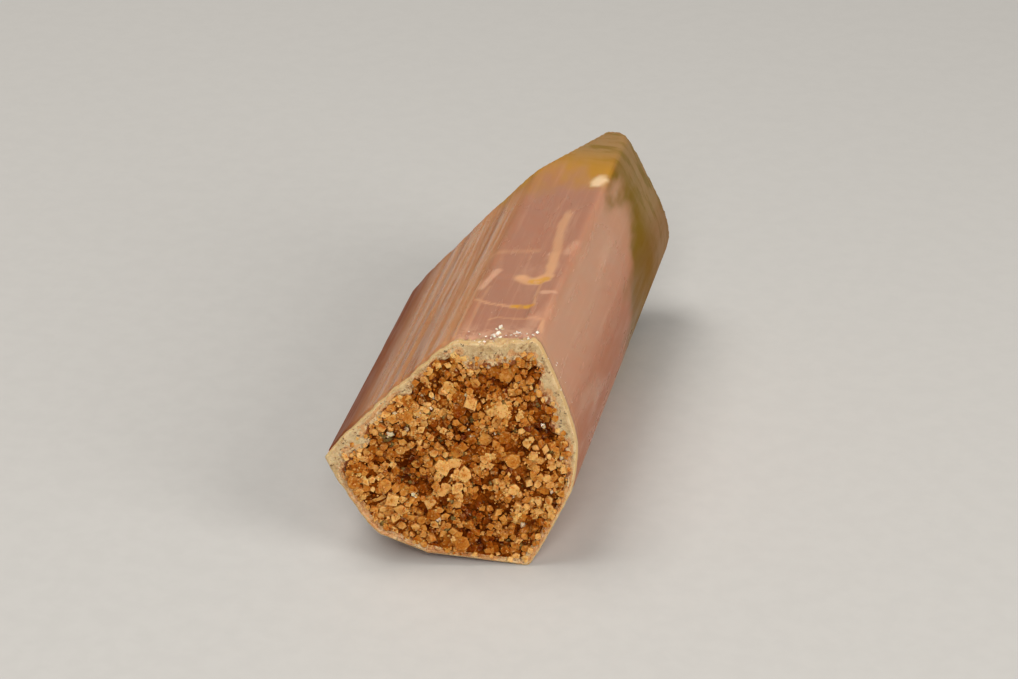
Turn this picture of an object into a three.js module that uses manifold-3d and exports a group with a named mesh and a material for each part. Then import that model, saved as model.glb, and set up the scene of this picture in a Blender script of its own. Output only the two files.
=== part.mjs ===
// An elbaite crystal, lying on a worn flat of its flank.
//
// The crystal's axis runs along +Y and +Z is up. It is a three-sided prism with bowed faces and
// grooves along its length. Its -Y end is a break with a smooth lip round a recess full of small
// grains. Its +Y end is grown: steep faces over the sides, low faces over the edges and a small
// flat at the apex. Everything is one solid, because it grew as one piece.
//
// All sizes are in millimetres. X = 0 lies close to the middle of the section, Y = 0 is where its
// toe meets the break, and Z = 0 is the flat that it rests on. The origin moves to the middle of
// the base at the end.

import * as THREE from 'three';
import { mergeVertices } from 'three/addons/utils/BufferGeometryUtils.js';
import Module from 'manifold-3d';

const wasm = await Module();
wasm.setup();

const DEGREE = Math.PI / 180;
const SAME_PLACE = 1e-4; // points closer than this are one point
const RANDOM_STRIDE = 0x6d2b79f5; // between the seeds of one draw and the next

// The section's corners, seen along +Y and listed against the clock. Each side runs to the next
// corner, bows out by `bow` at its middle and carries `grooves` grooves up to `depth` deep.
const SECTION = [
  { name: 'left edge', x: -6.1, z: 5.43, bow: 0.08, grooves: 4, depth: 0.09 },
  { name: 'heel', x: -3.75, z: 1.95, bow: 0.06, grooves: 2, depth: 0.06 },
  { name: 'base', x: -1.2, z: 0, bow: 0, grooves: 0, depth: 0 },
  { name: 'toe', x: 4, z: 0, bow: 0.08, grooves: 4, depth: 0.07 },
  { name: 'lower bulge', x: 5.85, z: 3.9, bow: 0.13, grooves: 3, depth: 0.06 },
  { name: 'upper bulge', x: 5.85, z: 6.6, bow: 0.12, grooves: 5, depth: 0.08 },
  { name: 'right shoulder', x: 3.72, z: 11.3, bow: 0, grooves: 0, depth: 0 },
  { name: 'left shoulder', x: -0.3, z: 11.22, bow: 0.12, grooves: 9, depth: 0.13 },
  { name: 'left brow', x: -5.1, z: 6.68, bow: 0.03, grooves: 2, depth: 0.1 },
];
const SECTION_MIDDLE = new THREE.Vector2(0.5, 5.5);
const GROOVE_LIP = 0.3; // the steep side of a groove, as a share of its width
const GROOVE_WANDER = 0.125; // how far a groove strays from even spacing, in widths
const GROOVE_DEPTHS = [0.35, 1]; // a groove's own depth, as a share of its side's
const GROOVE_WAVES = [9, 26]; // the length over which a groove fades in and out
const GROOVE_MEAN = 0.55; // the depth's middle value and its swing along the length, as shares
const GROOVE_SWING = 0.6;

const PRISM_START = -4; // both ends reach past the faces that cut them
const PRISM_END = 33;
const PRISM_STEPS = 12; // stations along the length where a groove changes depth

// The break: the plane through the toe that cuts the -Y end.
const BREAK_NORMAL = new THREE.Vector3(0.213, -0.949, 0.231).normalize();
const CHIP_REACH = 1.7; // how far the chips under the break run back along the base
const LOWER_RIM = [ // places on the section that the break's lower edge runs through
  { x: -3.1, z: 1.48 },
  { x: -1, z: 0.62 },
  { x: 3.3, z: 0.05 },
];

// The grown end's faces: the angle of a face's normal to the axis, its bearing about the axis from
// +X towards +Z, and the height along Y at which the face would cross the section's middle.
const STEEPEST_FACE_ANGLE = 66.1;
const STEEP_FACE_ANGLE = 46;
const LOW_FACE_ANGLE = 27.35;
const STEEP_FACES = [
  { name: 'over the left side', angle: STEEPEST_FACE_ANGLE, bearing: 148.3, height: 28.6 },
  { name: 'over the right side', angle: STEEP_FACE_ANGLE, bearing: 30, height: 31.2 },
  { name: 'over the base', angle: STEEP_FACE_ANGLE, bearing: 267, height: 27.9 },
];
const LOW_FACES = [
  { name: 'over the shoulders', angle: LOW_FACE_ANGLE, bearing: 88, height: 28.75 },
  { name: 'over the left edge', angle: LOW_FACE_ANGLE, bearing: 207, height: 25.9 },
  { name: 'over the toe', angle: LOW_FACE_ANGLE, bearing: 326, height: 29.4 },
];
const APEX_FLAT_Y = 27.9;

// Growth ledges on the top face: every ledge lies lower than the one before it.
const TOP_LEDGES = [
  { name: 'third plate', west: -0.9, east: 2.85, end: 8.7, drop: 0.1 },
  { name: 'second plate', west: 0.1, east: 2.7, end: 5.8, drop: 0.16 },
  { name: 'notch', west: 0.93, east: 3.3, end: 4.75, drop: 0.28 },
];

// The grainy crust of the break.
const CRUST_DEPTH = 0.5; // how far its floor lies below the lip
const LIP_WIDTHS = { left: 0.95, top: 1, right: 0.62, bottom: 0.32 };
const LIP_WANDER = 0.2; // how ragged the lip's inner edge is, as a share of its width
const CRUST_EDGE_POINTS = 40;
const CRUST_REACH = 7; // no part of the crust lies further than this from the section's middle
const GRAIN_PITCH = 0.6;
const GRAIN_JITTER = 0.2; // a grain's stray from its place, as a share of the pitch
const GRAIN_RADIUS = [0.28, 0.46];
const GRAIN_CLEARANCE = 0.2; // a grain's middle stays this far inside the lip
const GRAIN_STRETCH = [0.8, 1.25];
const GRAIN_SINK = 0.25; // a grain's middle lies this share of its radius below the floor
const GRAIN_CUBE = 1.25; // the cube's side and the other crystals' radii, in grain radii
const GRAIN_OCTAHEDRON = 1.1;
const GRAIN_ICOSAHEDRON = 1;
const ROW_ANGLE = 60; // between the rows of grains, which lie on a grid of even triangles
const GRAIN_SEED = 11;
const GROOVE_SEED = 29;
const LIP_SEED = 5;

const CUTTER_SIZE = 60; // longer than the crystal, so that one block cuts a whole face

const CRYSTAL_COLOUR = 0xb98470;
const CRYSTAL_ROUGHNESS = 0.35;

// Numbers between 0 and 1 that are the same on every run.
function seededRandom(seed) {
  let place = seed;
  return () => {
    const number = THREE.MathUtils.seededRandom(place);
    place += RANDOM_STRIDE;
    return number;
  };
}

function between([low, high], share) {
  return THREE.MathUtils.lerp(low, high, share);
}

// A number between -reach and reach.
function stray(reach, random) {
  return between([-reach, reach], random());
}

// A closed geometry as a solid that can be joined and cut.
function toSolid(geometry) {
  const bare = geometry.clone();
  bare.deleteAttribute('normal');
  bare.deleteAttribute('uv');
  const merged = mergeVertices(bare.index ? bare.toNonIndexed() : bare, SAME_PLACE);
  return new wasm.Manifold(new wasm.Mesh({
    numProp: 3,
    vertProperties: Float32Array.from(merged.attributes.position.array),
    triVerts: Uint32Array.from(merged.index.array),
  }));
}

function toGeometry(solid) {
  const mesh = solid.getMesh();
  const geometry = new THREE.BufferGeometry();
  geometry.setAttribute('position', new THREE.BufferAttribute(mesh.vertProperties, mesh.numProp));
  geometry.setIndex(new THREE.BufferAttribute(mesh.triVerts, 1));
  return geometry;
}

// Takes off everything that lies further along the normal than the point does.
function cutPast(solid, normal, point) {
  const block = new THREE.BoxGeometry(CUTTER_SIZE, CUTTER_SIZE, CUTTER_SIZE);
  const turn = new THREE.Quaternion().setFromUnitVectors(new THREE.Vector3(0, 0, 1), normal);
  block.translate(0, 0, CUTTER_SIZE / 2);
  block.applyQuaternion(turn);
  block.translate(point.x, point.y, point.z);
  return solid.subtract(toSolid(block));
}

// One groove's two stations on a side: its floor, and the lip that it climbs to.
function grooveStations(side, index, random) {
  const floor = (index + 0.5 + stray(GROOVE_WANDER, random)) / side.grooves;
  const depth = side.depth * between(GROOVE_DEPTHS, random());
  const phase = random();
  const wave = between(GROOVE_WAVES, random());
  return [
    { along: floor - GROOVE_LIP / side.grooves, depth: 0, phase, wave },
    { along: floor, depth, phase, wave },
  ];
}

// The section's stations in order: each has its place on the bowed side, the direction into the
// crystal, and its groove.
function sectionStations() {
  const random = seededRandom(GROOVE_SEED);
  const stations = [];
  SECTION.forEach((side, index) => {
    const next = SECTION[(index + 1) % SECTION.length];
    const start = new THREE.Vector2(side.x, side.z);
    const run = new THREE.Vector2(next.x, next.z).sub(start);
    const outward = new THREE.Vector2(run.y, -run.x).normalize();
    const inward = outward.clone().negate();
    const marks = [{ along: 0, depth: 0, phase: 0, wave: 1 }];
    for (let groove = 0; groove < side.grooves; groove += 1) {
      marks.push(...grooveStations(side, groove, random));
    }
    for (const mark of marks) {
      const bow = 4 * side.bow * mark.along * (1 - mark.along);
      const point = start.clone().addScaledVector(run, mark.along).addScaledVector(outward, bow);
      stations.push({ ...mark, point, inward });
    }
  });
  return stations;
}

// A groove fades in and out along the crystal, so its depth is a slow wave.
function grooveDepth(station, y) {
  const height = Math.sin(2 * Math.PI * (y / station.wave + station.phase));
  return station.depth * THREE.MathUtils.clamp(GROOVE_MEAN + GROOVE_SWING * height, 0, 1);
}

function groovedPrism() {
  const stations = sectionStations();
  const shape = new THREE.Shape(stations.map((station) => station.point));
  const geometry = new THREE.ExtrudeGeometry(shape, {
    depth: PRISM_END - PRISM_START,
    steps: PRISM_STEPS,
    bevelEnabled: false,
  });
  const position = geometry.attributes.position;
  const place = new THREE.Vector2();
  for (let index = 0; index < position.count; index += 1) {
    place.set(position.getX(index), position.getY(index));
    const station = stations.find((other) => other.point.distanceTo(place) < SAME_PLACE);
    const depth = grooveDepth(station, PRISM_END - position.getZ(index));
    place.addScaledVector(station.inward, depth);
    position.setXY(index, place.x, place.y);
  }
  geometry.rotateX(Math.PI / 2);
  geometry.translate(0, PRISM_END, 0);
  return toSolid(geometry);
}

// The outward normal of a face of the grown end.
function grownNormal(angle, bearing) {
  const tilt = angle * DEGREE;
  const turn = bearing * DEGREE;
  return new THREE.Vector3(
    Math.sin(tilt) * Math.cos(turn),
    Math.cos(tilt),
    Math.sin(tilt) * Math.sin(turn),
  );
}

function cutGrownEnd(solid) {
  let body = solid;
  for (const face of [...STEEP_FACES, ...LOW_FACES]) {
    const crossing = new THREE.Vector3(SECTION_MIDDLE.x, face.height, SECTION_MIDDLE.y);
    body = cutPast(body, grownNormal(face.angle, face.bearing), crossing);
  }
  return cutPast(body, new THREE.Vector3(0, 1, 0), new THREE.Vector3(0, APEX_FLAT_Y, 0));
}

// The point of the break above a place on the section.
function onBreak(x, z) {
  const y = -(BREAK_NORMAL.x * (x - toe().x) + BREAK_NORMAL.z * z) / BREAK_NORMAL.y;
  return new THREE.Vector3(x, y, z);
}

function corner(name) {
  const found = SECTION.find((side) => side.name === name);
  return new THREE.Vector2(found.x, found.z);
}

function toe() {
  return corner('toe');
}

// Two chips lift the break's lower edge off the base, so that the crystal rests behind it.
function cutChips(solid) {
  const [left, middle, right] = LOWER_RIM.map((place) => onBreak(place.x, place.z));
  const slope = new THREE.Vector3(0, CHIP_REACH, -middle.z);
  let body = solid;
  for (const [start, end] of [[left, middle], [middle, right]]) {
    const edge = end.clone().sub(start);
    const normal = edge.cross(slope).normalize();
    if (normal.z > 0) {
      normal.negate();
    }
    body = cutPast(body, normal, start);
  }
  return body;
}

function cutBreak(solid) {
  return cutChips(cutPast(solid, BREAK_NORMAL, onBreak(toe().x, 0)));
}

function cutLedges(solid) {
  const top = corner('right shoulder').y;
  let body = solid;
  for (const ledge of TOP_LEDGES) {
    const width = ledge.east - ledge.west;
    const length = ledge.end - PRISM_START;
    const block = new THREE.BoxGeometry(width, length, 2 * ledge.drop);
    block.translate(ledge.west + width / 2, ledge.end - length / 2, top);
    body = body.subtract(toSolid(block));
  }
  return body;
}

// The frame of the break: its middle, its level direction, its slope and its outward normal.
function breakFrame() {
  const middle = onBreak(SECTION_MIDDLE.x, SECTION_MIDDLE.y);
  const level = new THREE.Vector3(0, 0, 1).cross(BREAK_NORMAL).normalize();
  const slope = BREAK_NORMAL.clone().cross(level).normalize();
  return new THREE.Matrix4().makeBasis(level, slope, BREAK_NORMAL).setPosition(middle);
}

// How wide the lip is in a direction from the middle, in radians.
function lipWidth(direction) {
  const across = Math.cos(direction);
  const up = Math.sin(direction);
  const side = across > 0 ? LIP_WIDTHS.right : LIP_WIDTHS.left;
  const end = up > 0 ? LIP_WIDTHS.top : LIP_WIDTHS.bottom;
  return side * across * across + end * up * up;
}

// The break's own outline: the section, with the chips' edges in place of the base's corner.
function breakOutline() {
  const lowest = LOWER_RIM[0].z;
  const stations = sectionStations().map((station) => station.point);
  const turn = stations.findIndex((point) => point.y < lowest);
  const onward = stations.findIndex((point, index) => index > turn && point.x > LOWER_RIM.at(-1).x);
  const chipped = LOWER_RIM.map((place) => new THREE.Vector2(place.x, place.z));
  return [...stations.slice(0, turn), ...chipped, ...stations.slice(onward)];
}

// The distance from the section's middle to the break's outline, in a direction.
function breakReach(direction) {
  const ray = new THREE.Vector2(Math.cos(direction), Math.sin(direction));
  const outline = breakOutline().map((point) => point.clone().sub(SECTION_MIDDLE));
  let reach = 0;
  outline.forEach((from, index) => {
    const to = outline[(index + 1) % outline.length];
    const run = to.clone().sub(from);
    const spread = ray.cross(run);
    const along = from.cross(run) / spread;
    const share = from.cross(ray) / spread;
    if (along > 0 && share >= 0 && share <= 1) {
      reach = Math.max(reach, along);
    }
  });
  return reach;
}

// The crust's edge: the break's outline drawn in by the lip's width, with a ragged wander.
function crustOutline(inset) {
  const random = seededRandom(LIP_SEED);
  const points = [];
  for (let index = 0; index < CRUST_EDGE_POINTS; index += 1) {
    const direction = 2 * Math.PI * (index / CRUST_EDGE_POINTS);
    const width = lipWidth(direction) * (1 + stray(LIP_WANDER, random));
    const reach = breakReach(direction) - width - inset;
    points.push(new THREE.Vector2(Math.cos(direction), Math.sin(direction)).multiplyScalar(reach));
  }
  return points;
}

function isInside(point, outline) {
  let inside = false;
  outline.forEach((from, index) => {
    const to = outline[(index + 1) % outline.length];
    const crosses = from.y > point.y !== to.y > point.y;
    const edge = from.x + ((to.x - from.x) * (point.y - from.y)) / (to.y - from.y);
    if (crosses && point.x < edge) {
      inside = !inside;
    }
  });
  return inside;
}

function cutCrustFloor(solid) {
  const shape = new THREE.Shape(crustOutline(0));
  const recess = new THREE.ExtrudeGeometry(shape, { depth: 2 * CRUST_DEPTH, bevelEnabled: false });
  recess.translate(0, 0, -CRUST_DEPTH);
  recess.applyMatrix4(breakFrame());
  return solid.subtract(toSolid(recess));
}

// One grain: a block, an eight-sided or a twenty-sided crystal, turned any way.
function grain(radius, random) {
  const kinds = [
    () => new THREE.BoxGeometry(GRAIN_CUBE, GRAIN_CUBE, GRAIN_CUBE),
    () => new THREE.OctahedronGeometry(GRAIN_OCTAHEDRON),
    () => new THREE.IcosahedronGeometry(GRAIN_ICOSAHEDRON),
  ];
  const geometry = kinds[Math.floor(random() * kinds.length)]();
  geometry.scale(radius, radius * between(GRAIN_STRETCH, random()), radius);
  const turn = new THREE.Euler(random() * Math.PI, random() * Math.PI, random() * Math.PI);
  geometry.applyQuaternion(new THREE.Quaternion().setFromEuler(turn));
  return geometry;
}

// Grains stand in staggered rows over the floor and are fused to it.
function addGrains(solid) {
  const random = seededRandom(GRAIN_SEED);
  const edge = crustOutline(GRAIN_CLEARANCE);
  const rowStep = GRAIN_PITCH * Math.sin(ROW_ANGLE * DEGREE);
  const rows = Math.ceil(CRUST_REACH / rowStep);
  const columns = Math.ceil(CRUST_REACH / GRAIN_PITCH);
  const frame = breakFrame();
  let body = solid;
  for (let row = -rows; row <= rows; row += 1) {
    for (let column = -columns; column <= columns; column += 1) {
      const stagger = row % 2 === 0 ? 0 : 0.5;
      const spot = new THREE.Vector2(
        (column + stagger + stray(GRAIN_JITTER, random)) * GRAIN_PITCH,
        row * rowStep + stray(GRAIN_JITTER, random) * GRAIN_PITCH,
      );
      const radius = between(GRAIN_RADIUS, random());
      const geometry = grain(radius, random);
      if (isInside(spot, edge)) {
        geometry.translate(spot.x, spot.y, -GRAIN_SINK * radius - CRUST_DEPTH);
        geometry.applyMatrix4(frame);
        body = body.add(toSolid(geometry));
      }
    }
  }
  return body;
}

function crystalMaterial() {
  return new THREE.MeshStandardMaterial({
    color: CRYSTAL_COLOUR,
    roughness: CRYSTAL_ROUGHNESS,
    metalness: 0,
  });
}

// The finished crystal, with its origin at the middle of the base.
function elbaiteCrystal() {
  const body = addGrains(cutCrustFloor(cutLedges(cutGrownEnd(cutBreak(groovedPrism())))));
  const geometry = toGeometry(body);
  geometry.computeBoundingBox();
  const { min, max } = geometry.boundingBox;
  geometry.translate(-(min.x + max.x) / 2, -(min.y + max.y) / 2, -min.z);
  const mesh = new THREE.Mesh(geometry, crystalMaterial());
  mesh.name = 'elbaite_crystal';
  return mesh;
}

const part = new THREE.Group();
part.add(elbaiteCrystal());

export default part;
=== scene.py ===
"""An elbaite crystal, lying on a worn flat of its flank.

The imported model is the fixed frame. Two pieces go over it: the crystal's body, with its grooves, growth
plates, grown end and smooth lip, and the crust of small grains in its broken end.

Meshes are worked out in millimetres in the crystal's own frame, where X runs across the section, Z is up
and Y runs along the axis from the toe of the break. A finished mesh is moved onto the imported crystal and
scaled to metres.
"""

import logging
import math
import random
from bisect import bisect_right
from dataclasses import dataclass
from enum import Enum
from functools import partial
from typing import Any, Callable, Sequence

import bmesh
import bpy
from mathutils import Euler, Matrix, Vector, noise


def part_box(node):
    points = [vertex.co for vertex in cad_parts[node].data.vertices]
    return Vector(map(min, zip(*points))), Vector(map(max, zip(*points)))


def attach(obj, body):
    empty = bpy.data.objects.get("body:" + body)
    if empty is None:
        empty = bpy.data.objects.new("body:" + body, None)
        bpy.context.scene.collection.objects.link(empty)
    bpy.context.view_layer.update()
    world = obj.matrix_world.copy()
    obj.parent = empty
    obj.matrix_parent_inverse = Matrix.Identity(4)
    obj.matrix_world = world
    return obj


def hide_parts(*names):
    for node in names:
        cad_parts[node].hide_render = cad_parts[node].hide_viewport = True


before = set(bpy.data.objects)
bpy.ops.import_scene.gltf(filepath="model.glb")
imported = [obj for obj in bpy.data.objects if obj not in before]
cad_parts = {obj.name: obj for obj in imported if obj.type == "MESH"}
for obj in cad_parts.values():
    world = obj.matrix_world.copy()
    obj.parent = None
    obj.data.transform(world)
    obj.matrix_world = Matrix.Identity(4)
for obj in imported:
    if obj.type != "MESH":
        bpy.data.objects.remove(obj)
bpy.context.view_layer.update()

LOG = logging.getLogger("elbaite")

MM = 0.001
BODY_NAME = "root"
NODE_NAME = "elbaite_crystal"

TURN = 2.0 * math.pi
UP = (0.0, 0.0, 1.0)
# How near, in millimetres, a cut may run to a point before it takes that point.
CUT_GAP = 1e-4
# How near two points of the skin may lie before they are one.
WELD_GAP = 1e-5
# How far apart the layers of noise lie in the third direction, and where the first one lies.
LAYER_GAP, LAYER_START = 17.31, 0.5

Colour = tuple[float, float, float, float]
Pair = tuple[float, float]
Triple = tuple[float, float, float]
Mesh = bmesh.types.BMesh
Vert = bmesh.types.BMVert
Edge = bmesh.types.BMEdge
Face = bmesh.types.BMFace


# ---- Small sums ----


def blend(start: float, end: float, share: float) -> float:
    """The value that lies the given share of the way from start to end."""
    return start + (end - start) * share


def clamp(value: float, low: float = 0.0, high: float = 1.0) -> float:
    """The value, held between low and high."""
    return max(low, min(high, value))


def ease(low: float, high: float, value: float) -> float:
    """A smooth climb from 0 where value is at low to 1 where it is at high."""
    share = clamp((value - low) / (high - low))
    return share * share * (3.0 - 2.0 * share)


def band(start: float, end: float, soft: float, value: float) -> float:
    """1 between start and end, and 0 outside them, with soft shoulders."""
    return ease(start - soft, start + soft, value) * (1.0 - ease(end - soft, end + soft, value))


def terraced(level: float, steps: int, riser: float) -> float:
    """Turns a slope from 0 to 1 into flat treads, each with a riser that takes a share of its run."""
    climb = clamp(level) * steps
    tread = math.floor(climb)
    return (tread + ease(1.0 - riser, 1.0, climb - tread)) / steps


def shader_value(value: int) -> float:
    """A display value from 0 to 255, as the linear value that shaders take."""
    share = value / 255.0
    return share / 12.92 if share <= 0.04045 else ((share + 0.055) / 1.055) ** 2.4


def linear(red: int, green: int, blue: int) -> Colour:
    """A colour given in display values from 0 to 255, as shaders take it."""
    return (shader_value(red), shader_value(green), shader_value(blue), 1.0)


@dataclass(frozen=True)
class Waves:
    """Smooth noise on a plane.

    It swings by its height either way, has so many swings a millimetre along each of the two axes, and
    its layer picks one of many unlike patterns.
    """

    height: float
    first_pitch: float
    second_pitch: float
    layer: int

    def at(self, first: float, second: float = 0.0, variant: int = 0) -> float:
        """The height at a place; another variant is another pattern of the same kind."""
        depth = LAYER_GAP * (self.layer + variant) + LAYER_START
        spot = Vector((first * self.first_pitch, second * self.second_pitch, depth))
        return self.height * noise.noise(spot)


def even(height: float, pitch: float, layer: int) -> Waves:
    """Waves with the same pitch both ways."""
    return Waves(height, pitch, pitch, layer)


# ---- The crystal's form ----


class Flank(Enum):
    """The kinds of side the prism has, and the channel of the 'sides' attribute that holds each."""

    STEPPED = 0
    TOP = 1
    SMOOTH = 2
    REST = 3


@dataclass(frozen=True)
class Corner:
    """A corner of the section, and the side that runs from it, against the clock, to the next one.

    The corner's wear is how many times its stretch of the outline is smoothed.
    """

    name: str
    x: float
    z: float
    bow: float
    relief: float
    wear: int
    flank: Flank


LEFT_EDGE = Corner("left edge", -6.1, 5.43, 0.08, 0.08, 1, Flank.STEPPED)
BASE = Corner("base", -1.2, 0.0, 0.0, 0.0, 2, Flank.REST)
RIGHT_SHOULDER = Corner("right shoulder", 3.72, 11.3, 0.0, 0.018, 16, Flank.TOP)
SECTION = (
    LEFT_EDGE,
    Corner("heel", -3.75, 1.95, 0.06, 0.07, 8, Flank.STEPPED),
    BASE,
    Corner("toe", 4.0, 0.0, 0.08, 0.07, 2, Flank.STEPPED),
    Corner("lower bulge", 5.85, 3.9, 0.13, 0.05, 24, Flank.SMOOTH),
    Corner("upper bulge", 5.85, 6.6, 0.12, 0.03, 24, Flank.SMOOTH),
    RIGHT_SHOULDER,
    Corner("left shoulder", -0.3, 11.22, 0.12, 0.15, 10, Flank.STEPPED),
    Corner("left brow", -5.1, 6.68, 0.03, 0.1, 12, Flank.STEPPED),
)


@dataclass(frozen=True)
class Station:
    """One place on the section's outline."""

    x: float
    z: float
    inward: Pair
    around: float
    relief: float
    sides: Triple


@dataclass(frozen=True)
class Section:
    """The prism's worn outline, from the middle of the base against the clock."""

    corners: tuple[Corner, ...] = SECTION
    middle_x: float = 0.5
    middle_z: float = 5.5
    points: int = 432
    blend_passes: int = 14

    def direction(self, x: float, z: float) -> float:
        """The direction of a place from the section's middle, in radians."""
        return math.atan2(z - self.middle_z, x - self.middle_x)

    def distance(self, x: float, z: float) -> float:
        """How far a place lies from the section's middle."""
        return math.hypot(x - self.middle_x, z - self.middle_z)

    def stations(self) -> list[Station]:
        """Walks round the outline at even steps.

        Returns:
            The stations in order, the last one a step short of the first.
        """
        places, reliefs, sides, wears = self._walk()
        for turn in range(max(wears)):
            worn = self._smoothed(places)
            places = [after if wear > turn else before for before, after, wear in zip(places, worn, wears)]
        for _ in range(self.blend_passes):
            reliefs = self._smoothed(reliefs)
            sides = self._smoothed(sides)
        found, around = [], 0.0
        for index, place in enumerate(places):
            after = places[(index + 1) % len(places)]
            run = (after - places[index - 1]).normalized()
            inward = (-run.y, run.x)
            found.append(Station(place.x, place.y, inward, around, reliefs[index].x, tuple(sides[index])))
            around += (after - place).length
        return found

    def _walk(self) -> tuple[list[Vector], list[Vector], list[Vector], list[int]]:
        """Even steps along the bowed sides, before any wear.

        Returns:
            The places, the depths of relief, the shares of the three kinds of side and the wear.
        """
        first = self.corners.index(BASE)
        corners = self.corners[first:] + self.corners[:first]
        starts = [Vector((corner.x, corner.z)) for corner in corners]
        runs = [after - start for start, after in zip(starts, starts[1:] + starts[:1])]
        step = sum(run.length for run in runs) / self.points
        places, reliefs, sides, wears = [], [], [], []
        for index in range(self.points):
            travelled = index * step + runs[0].length / 2.0
            number = 0
            while travelled > runs[number].length:
                travelled -= runs[number].length
                number = (number + 1) % len(runs)
            corner, run = corners[number], runs[number]
            share = travelled / run.length
            outward = Vector((run.y, -run.x)).normalized()
            bulge = outward * (4.0 * corner.bow * share * (1.0 - share))
            places.append(starts[number] + run * share + bulge)
            reliefs.append(Vector((corner.relief, 0.0)))
            sides.append(Vector([1.0 if corner.flank.value == channel else 0.0 for channel in range(3)]))
            wears.append((corner if share < 0.5 else corners[(number + 1) % len(corners)]).wear)
        return places, reliefs, sides, wears

    @staticmethod
    def _smoothed(values: list[Vector]) -> list[Vector]:
        """Each value drawn towards its two neighbours on the closed outline."""
        after = values[1:] + values[:1]
        return [values[i - 1] * 0.25 + values[i] * 0.5 + after[i] * 0.25 for i in range(len(values))]


@dataclass(frozen=True)
class Break:
    """The plane of the broken end, the chips under it and the lip round its crust."""

    section: Section = Section()
    toe_x: float = 4.0
    normal: Triple = (0.213, -0.949, 0.231)
    chip_reach: float = 1.7
    lower_rim: tuple[Pair, ...] = ((-3.1, 1.48), (-1.0, 0.62), (3.3, 0.05))
    # The lip's width by the direction from the section's middle, in degrees from +X towards +Z.
    lip_widths: tuple[Pair, ...] = (
        (-180, 1.3), (-172, 0.6), (-162, 0.4), (-150, 0.42), (-135, 0.42), (-120, 0.32), (-105, 0.3),
        (-95, 0.2), (-80, 0.18), (-67, 0.2), (-56, 0.44), (-48, 0.35), (-33, 0.24), (-15, 0.34),
        (0, 0.5), (8, 0.6), (19, 1.0), (28, 0.75), (36, 0.8), (44, 1.3), (50, 0.5), (60, 0.9),
        (66, 1.45), (74, 1.25), (89, 1.35), (96, 0.7), (108, 0.35), (119, 0.42), (126, 0.45),
        (132, 0.8), (139, 0.45), (150, 0.6), (163, 0.75), (172, 1.35), (180, 1.3),
    )
    least_width: float = 0.18
    wander: float = 0.26
    bays: Waves = Waves(0.4, 9.0, 0.0, 21)
    teeth: Waves = Waves(0.7, 24.0, 0.0, 22)
    shoulder: float = 0.13
    crust_depth: float = 0.2

    def unit(self) -> Vector:
        """The break's outward normal."""
        return Vector(self.normal).normalized()

    def height(self, x: float, z: float) -> float:
        """The place along Y where the break's plane crosses the line through x and z."""
        side, along, up = self.normal
        return -(side * (x - self.toe_x) + up * z) / along

    def on_plane(self, x: float, z: float) -> Vector:
        """The point of the break's plane over a place on the section."""
        return Vector((x, self.height(x, z), z))

    def middle(self, behind: float = 0.0) -> Vector:
        """The section's middle, on the break's plane or a distance behind it along the axis."""
        x, z = self.section.middle_x, self.section.middle_z
        return Vector((x, self.height(x, z) + behind, z))

    def chips(self) -> list[tuple[Vector, Vector]]:
        """The planes of the two chips under the break: a point and the outward normal of each.

        Returns:
            For each chip, a point of its plane and its outward normal.
        """
        left, middle, right = (self.on_plane(x, z) for x, z in self.lower_rim)
        slope = Vector((0.0, self.chip_reach, -middle.z))
        planes = []
        for start, end in ((left, middle), (middle, right)):
            normal = (end - start).cross(slope).normalized()
            planes.append((start, -normal if normal.z > 0.0 else normal))
        return planes

    def lip_width(self, x: float, z: float) -> float:
        """The lip's ragged width in the direction of a place from the section's middle.

        Args:
            x: the place across the section.
            z: the place's height.

        Returns:
            The width in millimetres.
        """
        direction = self.section.direction(x, z)
        degrees = math.degrees(direction)
        after = max(1, next(i for i, (angle, _) in enumerate(self.lip_widths) if angle >= degrees))
        (start, narrow), (end, wide) = self.lip_widths[after - 1], self.lip_widths[after]
        width = blend(narrow, wide, ease(start, end, degrees))
        ragged = self.bays.at(direction) + self.teeth.at(direction)
        return max(self.least_width, width * (1.0 + self.wander * ragged))


@dataclass(frozen=True)
class GrownFace:
    """A face of the grown end: its normal's angle to the axis, bearing and height on the axis."""

    name: str
    angle: float
    bearing: float
    height: float

    def normal(self) -> Vector:
        """The face's outward normal."""
        tilt, turn = math.radians(self.angle), math.radians(self.bearing)
        return Vector((math.sin(tilt) * math.cos(turn), math.cos(tilt), math.sin(tilt) * math.sin(turn)))


GROWN_FACES = (
    GrownFace("steep, over the left side", 66.1, 148.3, 28.6),
    GrownFace("steep, over the right side", 46.0, 30.0, 31.2),
    GrownFace("steep, over the base", 46.0, 267.0, 27.9),
    GrownFace("low, over the shoulders", 27.35, 88.0, 28.75),
    GrownFace("low, over the left edge", 27.35, 207.0, 25.9),
    GrownFace("low, over the toe", 27.35, 326.0, 29.4),
)


@dataclass(frozen=True)
class GrowthPlate:
    """A thin step down in the top face, which reaches from the break to its end along the axis."""

    name: str
    west: float
    east: float
    end: float
    drop: float


GROWTH_PLATES = (
    GrowthPlate("third plate", -0.95, 2.7, 8.6, 0.06),
    GrowthPlate("second plate", 0.1, 2.75, 5.85, 0.11),
    GrowthPlate("notch", 0.95, 3.45, 4.7, 0.11),
)


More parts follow.
